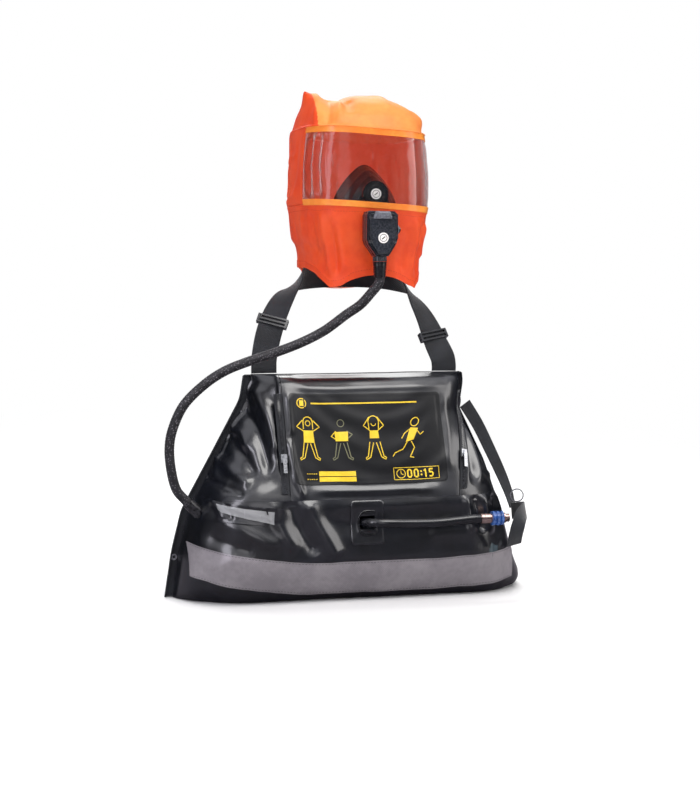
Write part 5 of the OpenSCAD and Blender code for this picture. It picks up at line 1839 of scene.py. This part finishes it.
# name, axis, start along that axis, two cross directions, radius, wire radius, length,
# joint, share of the length kept, body
SPRINGS = [
    ("exhale_spring", -Y_AXIS, -54.45, X_AXIS, Z_AXIS, 5, 0.35, 2.5, "exhale_lift", 0.42,
     "hood"),
    ("poppet_spring", Z_AXIS, 486.8, X_AXIS, Y_AXIS, 2.4, 0.3, 4.2, "poppet_open", 0.74,
     "hood"),
    ("reducer_spring", -X_AXIS, -234.4, Z_AXIS, Y_AXIS, 9, 1.1, 8.8, "piston_move", 0.86,
     "root"),
]
for (name, axis, start, first, second, radius, wire, length, joint, keep, body) in SPRINGS:
    low, high = (np.array(corner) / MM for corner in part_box(name))
    origin = np.where(axis != 0, start, (low + high) / 2)
    turns = np.linspace(0, 6 * np.pi, 145)
    path = (origin + radius * (np.cos(turns)[:, None] * first + np.sin(turns)[:, None] * second)
            + axis * (length * turns / turns[-1])[:, None])
    spring = tube(name + "_wire", path, wire, body, STEEL, sides=10, ref=tuple(axis),
                  replaces=name)
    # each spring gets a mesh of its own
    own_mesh(spring)

# ============================================================ demand valve case trim
# Corners of the case's front outline: x, z
CASE_OUTLINE = [(-20, 556), (18, 556), (23, 551), (23, 517), (20, 509), (13, 498), (9, 492),
                (-9, 492), (-13, 498), (-21, 509), (-23, 515), (-23, 551)]
LATCH_OUTLINE = [(-15, 545), (13, 545), (10, 555.4), (-12, 555.4)]
# Latch rings from back to front: inset, y
LATCH_RINGS = [(0, -97.2), (0, -99.4), (0.5, -100.3), (1.4, -100.8), (2.4, -100.9)]


def round_corners(corners, radius):
    """Each corner becomes a curve of seven points; the outline is returned reversed."""
    corners = [np.array(p, float) for p in corners]
    out = []
    for i, corner in enumerate(corners):
        before, after = corners[i - 1] - corner, corners[(i + 1) % len(corners)] - corner
        cut = min(radius, 0.45 * np.linalg.norm(before), 0.45 * np.linalg.norm(after))
        start, end = corner + unit(before) * cut, corner + unit(after) * cut
        for j in range(7):
            t = j / 6
            out.append((1 - t) ** 2 * start + 2 * t * (1 - t) * corner + t * t * end)
    return np.array(out)[::-1]


def inset(outline, distance, centre):
    """The outline moved towards its centre."""
    tangent = unit(np.roll(outline, -1, 0) - np.roll(outline, 1, 0))
    inward = np.stack([-tangent[:, 1], tangent[:, 0]], 1)
    if ((centre - outline) * inward).sum() < 0:
        inward = -inward
    return outline + inward * distance


def at_depth(outline, y):
    return np.stack([outline[:, 0], np.full(len(outline), y), outline[:, 1]], 1)


case_outline = round_corners(CASE_OUTLINE, 5)
for name, distance, y, radius, mat in (("valve_face_bead", 4.2, -97.5, 0.55, CASE),
                                       ("valve_case_seam_bead", -0.15, -83.9, 0.5, GLOSS)):
    loop = inset(case_outline, distance, np.array([0.0, 524.0]))
    loop_tube(name, at_depth(loop, y), radius, mat, sides=8)


def top_latch():
    outline = round_corners(LATCH_OUTLINE, 2)
    centre = outline.mean(0)
    rings = [at_depth(inset(outline, distance, centre), y) for distance, y in LATCH_RINGS]
    ends = [at_depth(centre[None], LATCH_RINGS[k][1]) for k in (0, -1)]
    faces = [f[::-1] for f in capped_faces(len(rings), len(outline))]
    build("valve_top_latch", (np.concatenate(rings + ends), faces, None), "hood",
          LATCH, sharp=30)
    bars = [box((-1, -101.0, 547.3 + 2.1 * k), X_AXIS, Y_AXIS, Z_AXIS, 9.5 - 0.5 * k, 0.35,
                0.45) for k in range(4)]
    build("valve_latch_grip", join(bars), "hood", LATCH, smooth=False)


top_latch()
button_angle = circle(48)
loop_tube("bypass_button_ring",
          np.stack([np.full(48, 23.3), -89 + 6.2 * np.cos(button_angle),
                    530 + 6.2 * np.sin(button_angle)], 1), 0.9, LATCH, ref=(1, 0, 0))

# ---------- gauge dial: a pale face with ticks, under the needle
DIAL_X, DIAL_Z = -203, 122
dial_angle = circle(64)
dial = np.array([np.stack([DIAL_X + radius * np.cos(dial_angle), np.full(64, -91.25),
                           DIAL_Z + radius * np.sin(dial_angle)], 1)
                 for radius in (2.2, 8, 15.2)])
shell("gauge_dial_face", dial[:, ::-1], 0.2, "root", PALE, wrap=True)
ticks = []
for k in range(13):
    turn = math.radians(210 - 20 * k)
    cosine, sine = math.cos(turn), math.sin(turn)
    ticks.append(box((DIAL_X + 13 * cosine, -91.4, DIAL_Z + 13 * sine), (cosine, 0, sine),
                     (0, 1, 0), (-sine, 0, cosine), 1.4, 0.12, 0.3))
build("gauge_dial_ticks", join(ticks), "root", MARK, smooth=False)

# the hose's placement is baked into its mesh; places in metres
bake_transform(supply_hose)


# ============================================================ stage, light, camera
def floor_material():
    """Pale ground, darker in reflections, that the camera sees fade to white far away."""
    sh = Shader(bpy.data.materials.new("floor_pale"))
    place = sh.node("ShaderNodeTexCoord").outputs["Object"]
    tint = sh.mix(sh.noise(place, 1000 / 3, 2), (0.86, 0.86, 0.86), (0.90, 0.90, 0.90))
    ground = sh.node("ShaderNodeBsdfPrincipled", {"Base Color": tint, "Roughness": 0.75})
    position = sh.node("ShaderNodeNewGeometry").outputs["Position"]
    y = sh.node("ShaderNodeSeparateXYZ", {0: position}).outputs[1]
    dark = sh.mix(sh.ramp(y, 0.6, 2.2), (0.16, 0.15, 0.17), (0.02, 0.02, 0.022))
    reflected = sh.node("ShaderNodeBsdfDiffuse", {0: dark})
    rays = sh.node("ShaderNodeLightPath")
    near = sh.blend(rays.outputs["Is Glossy Ray"], ground.outputs[0], reflected.outputs[0])
    distance = sh.node("ShaderNodeVectorMath", {0: position}, operation="LENGTH")
    far = sh.times(sh.ramp(distance.outputs["Value"], 0.7, 2.4), rays.outputs["Is Camera Ray"])
    white = sh.node("ShaderNodeEmission", {0: (1, 1, 1)})
    return sh.finish(sh.blend(far, near, white.outputs[0]))


SWEEP_RADIUS = 1400  # of the curve from the floor up to the backdrop
SWEEP_Y, FLOOR_Z = 1900, -0.5  # where that curve starts, and the floor's level


def make_floor():
    profile = [(y, FLOOR_Z) for y in (-6000, -3000, 400, SWEEP_Y)]
    for degrees in range(6, 91, 6):
        turn = math.radians(degrees)
        profile.append((SWEEP_Y + SWEEP_RADIUS * math.sin(turn),
                        FLOOR_Z + SWEEP_RADIUS - SWEEP_RADIUS * math.cos(turn)))
    profile.append((SWEEP_Y + SWEEP_RADIUS, 6000))
    verts = [(x, y, z) for y, z in profile for x in (-8000, 8000)]
    faces = [[2 * i, 2 * i + 1, 2 * i + 3, 2 * i + 2] for i in range(len(profile) - 1)]
    build("floor", (verts, faces, None), None, floor_material(), sharp=0)


make_floor()


def make_world():
    """White to the camera, soft light on surfaces, and darker low down in reflections."""
    world = bpy.data.worlds.new("studio")
    bpy.context.scene.world = world
    sh = Shader(world, "ShaderNodeOutputWorld")
    direction = sh.node("ShaderNodeTexCoord").outputs["Generated"]
    upward = sh.node("ShaderNodeSeparateXYZ", {0: direction}).outputs[2]
    strength = sh.ramp(upward, 0.15, 0.95, out_low=0.06, out_high=1.0)
    seen, lit, mirrored = (
        sh.node("ShaderNodeBackground", {0: tint, 1: power}).outputs[0]
        for tint, power in (((1, 1, 1), 1.0), ((0.95, 0.96, 1), 0.42),
                            ((0.93, 0.93, 1.0), strength)))
    rays = sh.node("ShaderNodeLightPath")
    others = sh.blend(rays.outputs["Is Glossy Ray"], lit, mirrored)
    sh.finish(sh.blend(rays.outputs["Is Camera Ray"], others, seen))


make_world()


def area_light(name, place, target, size, power, tint=(1, 1, 1), size_y=None):
    """A rectangular light aimed at target; places and sizes in metres, power in watts."""
    light = bpy.data.lights.new(name, "AREA")
    light.energy = power
    light.color = tint
    light.shape = "RECTANGLE"
    light.size = size
    light.size_y = size_y or size
    obj = bpy.data.objects.new(name, light)
    bpy.context.scene.collection.objects.link(obj)
    obj.location = place
    aim = Vector(target) - Vector(place)
    obj.rotation_euler = aim.to_track_quat("-Z", "Y").to_euler()
    return obj


area_light("key_top", (0.2, -1.1, 2.3), (0, 0, 0.4), size=1.5, power=34, tint=(1, 0.98, 0.95))
area_light("soft_right", (1.9, -1.3, 1.1), (0, 0, 0.35), size=1.0, power=16,
           tint=(1, 0.97, 0.95), size_y=1.8)
area_light("soft_left", (-2.0, -1.2, 1.2), (0, 0, 0.3), size=0.7, power=20,
           tint=(0.92, 0.90, 1.0), size_y=1.8)
area_light("front_fill", (-0.7, -2.6, 0.9), (0, 0, 0.4), size=1.2, power=6,
           tint=(0.97, 0.95, 1.0))
area_light("rim_back", (0.3, 2.0, 1.9), (0, 0, 0.5), size=1.2, power=16)
backdrop_wash = area_light("backdrop_wash", (0, 0.9, 3.4), (0, 3.3, 1.0), size=2.6, power=95,
                           size_y=1.2)
backdrop_wash.visible_glossy = False

# Camera: aimed at a point in metres, from a distance at an azimuth and elevation
CAMERA_TARGET = Vector((-0.023, 0, 0.281))
CAMERA_DISTANCE = 2.6
AZIMUTH, ELEVATION = math.radians(-15), math.radians(4)


def make_camera():
    lens = bpy.data.cameras.new("cam")
    lens.sensor_width = 36
    lens.lens = 79.05
    lens.clip_end = 50
    obj = bpy.data.objects.new("cam", lens)
    bpy.context.scene.collection.objects.link(obj)
    away = Vector((math.sin(AZIMUTH) * math.cos(ELEVATION),
                   -math.cos(AZIMUTH) * math.cos(ELEVATION), math.sin(ELEVATION)))
    obj.location = CAMERA_TARGET + CAMERA_DISTANCE * away
    obj.rotation_euler = (CAMERA_TARGET - obj.location).to_track_quat("-Z", "Y").to_euler()
    bpy.context.scene.camera = obj


make_camera()
bpy.context.scene.view_settings.view_transform = "Standard"
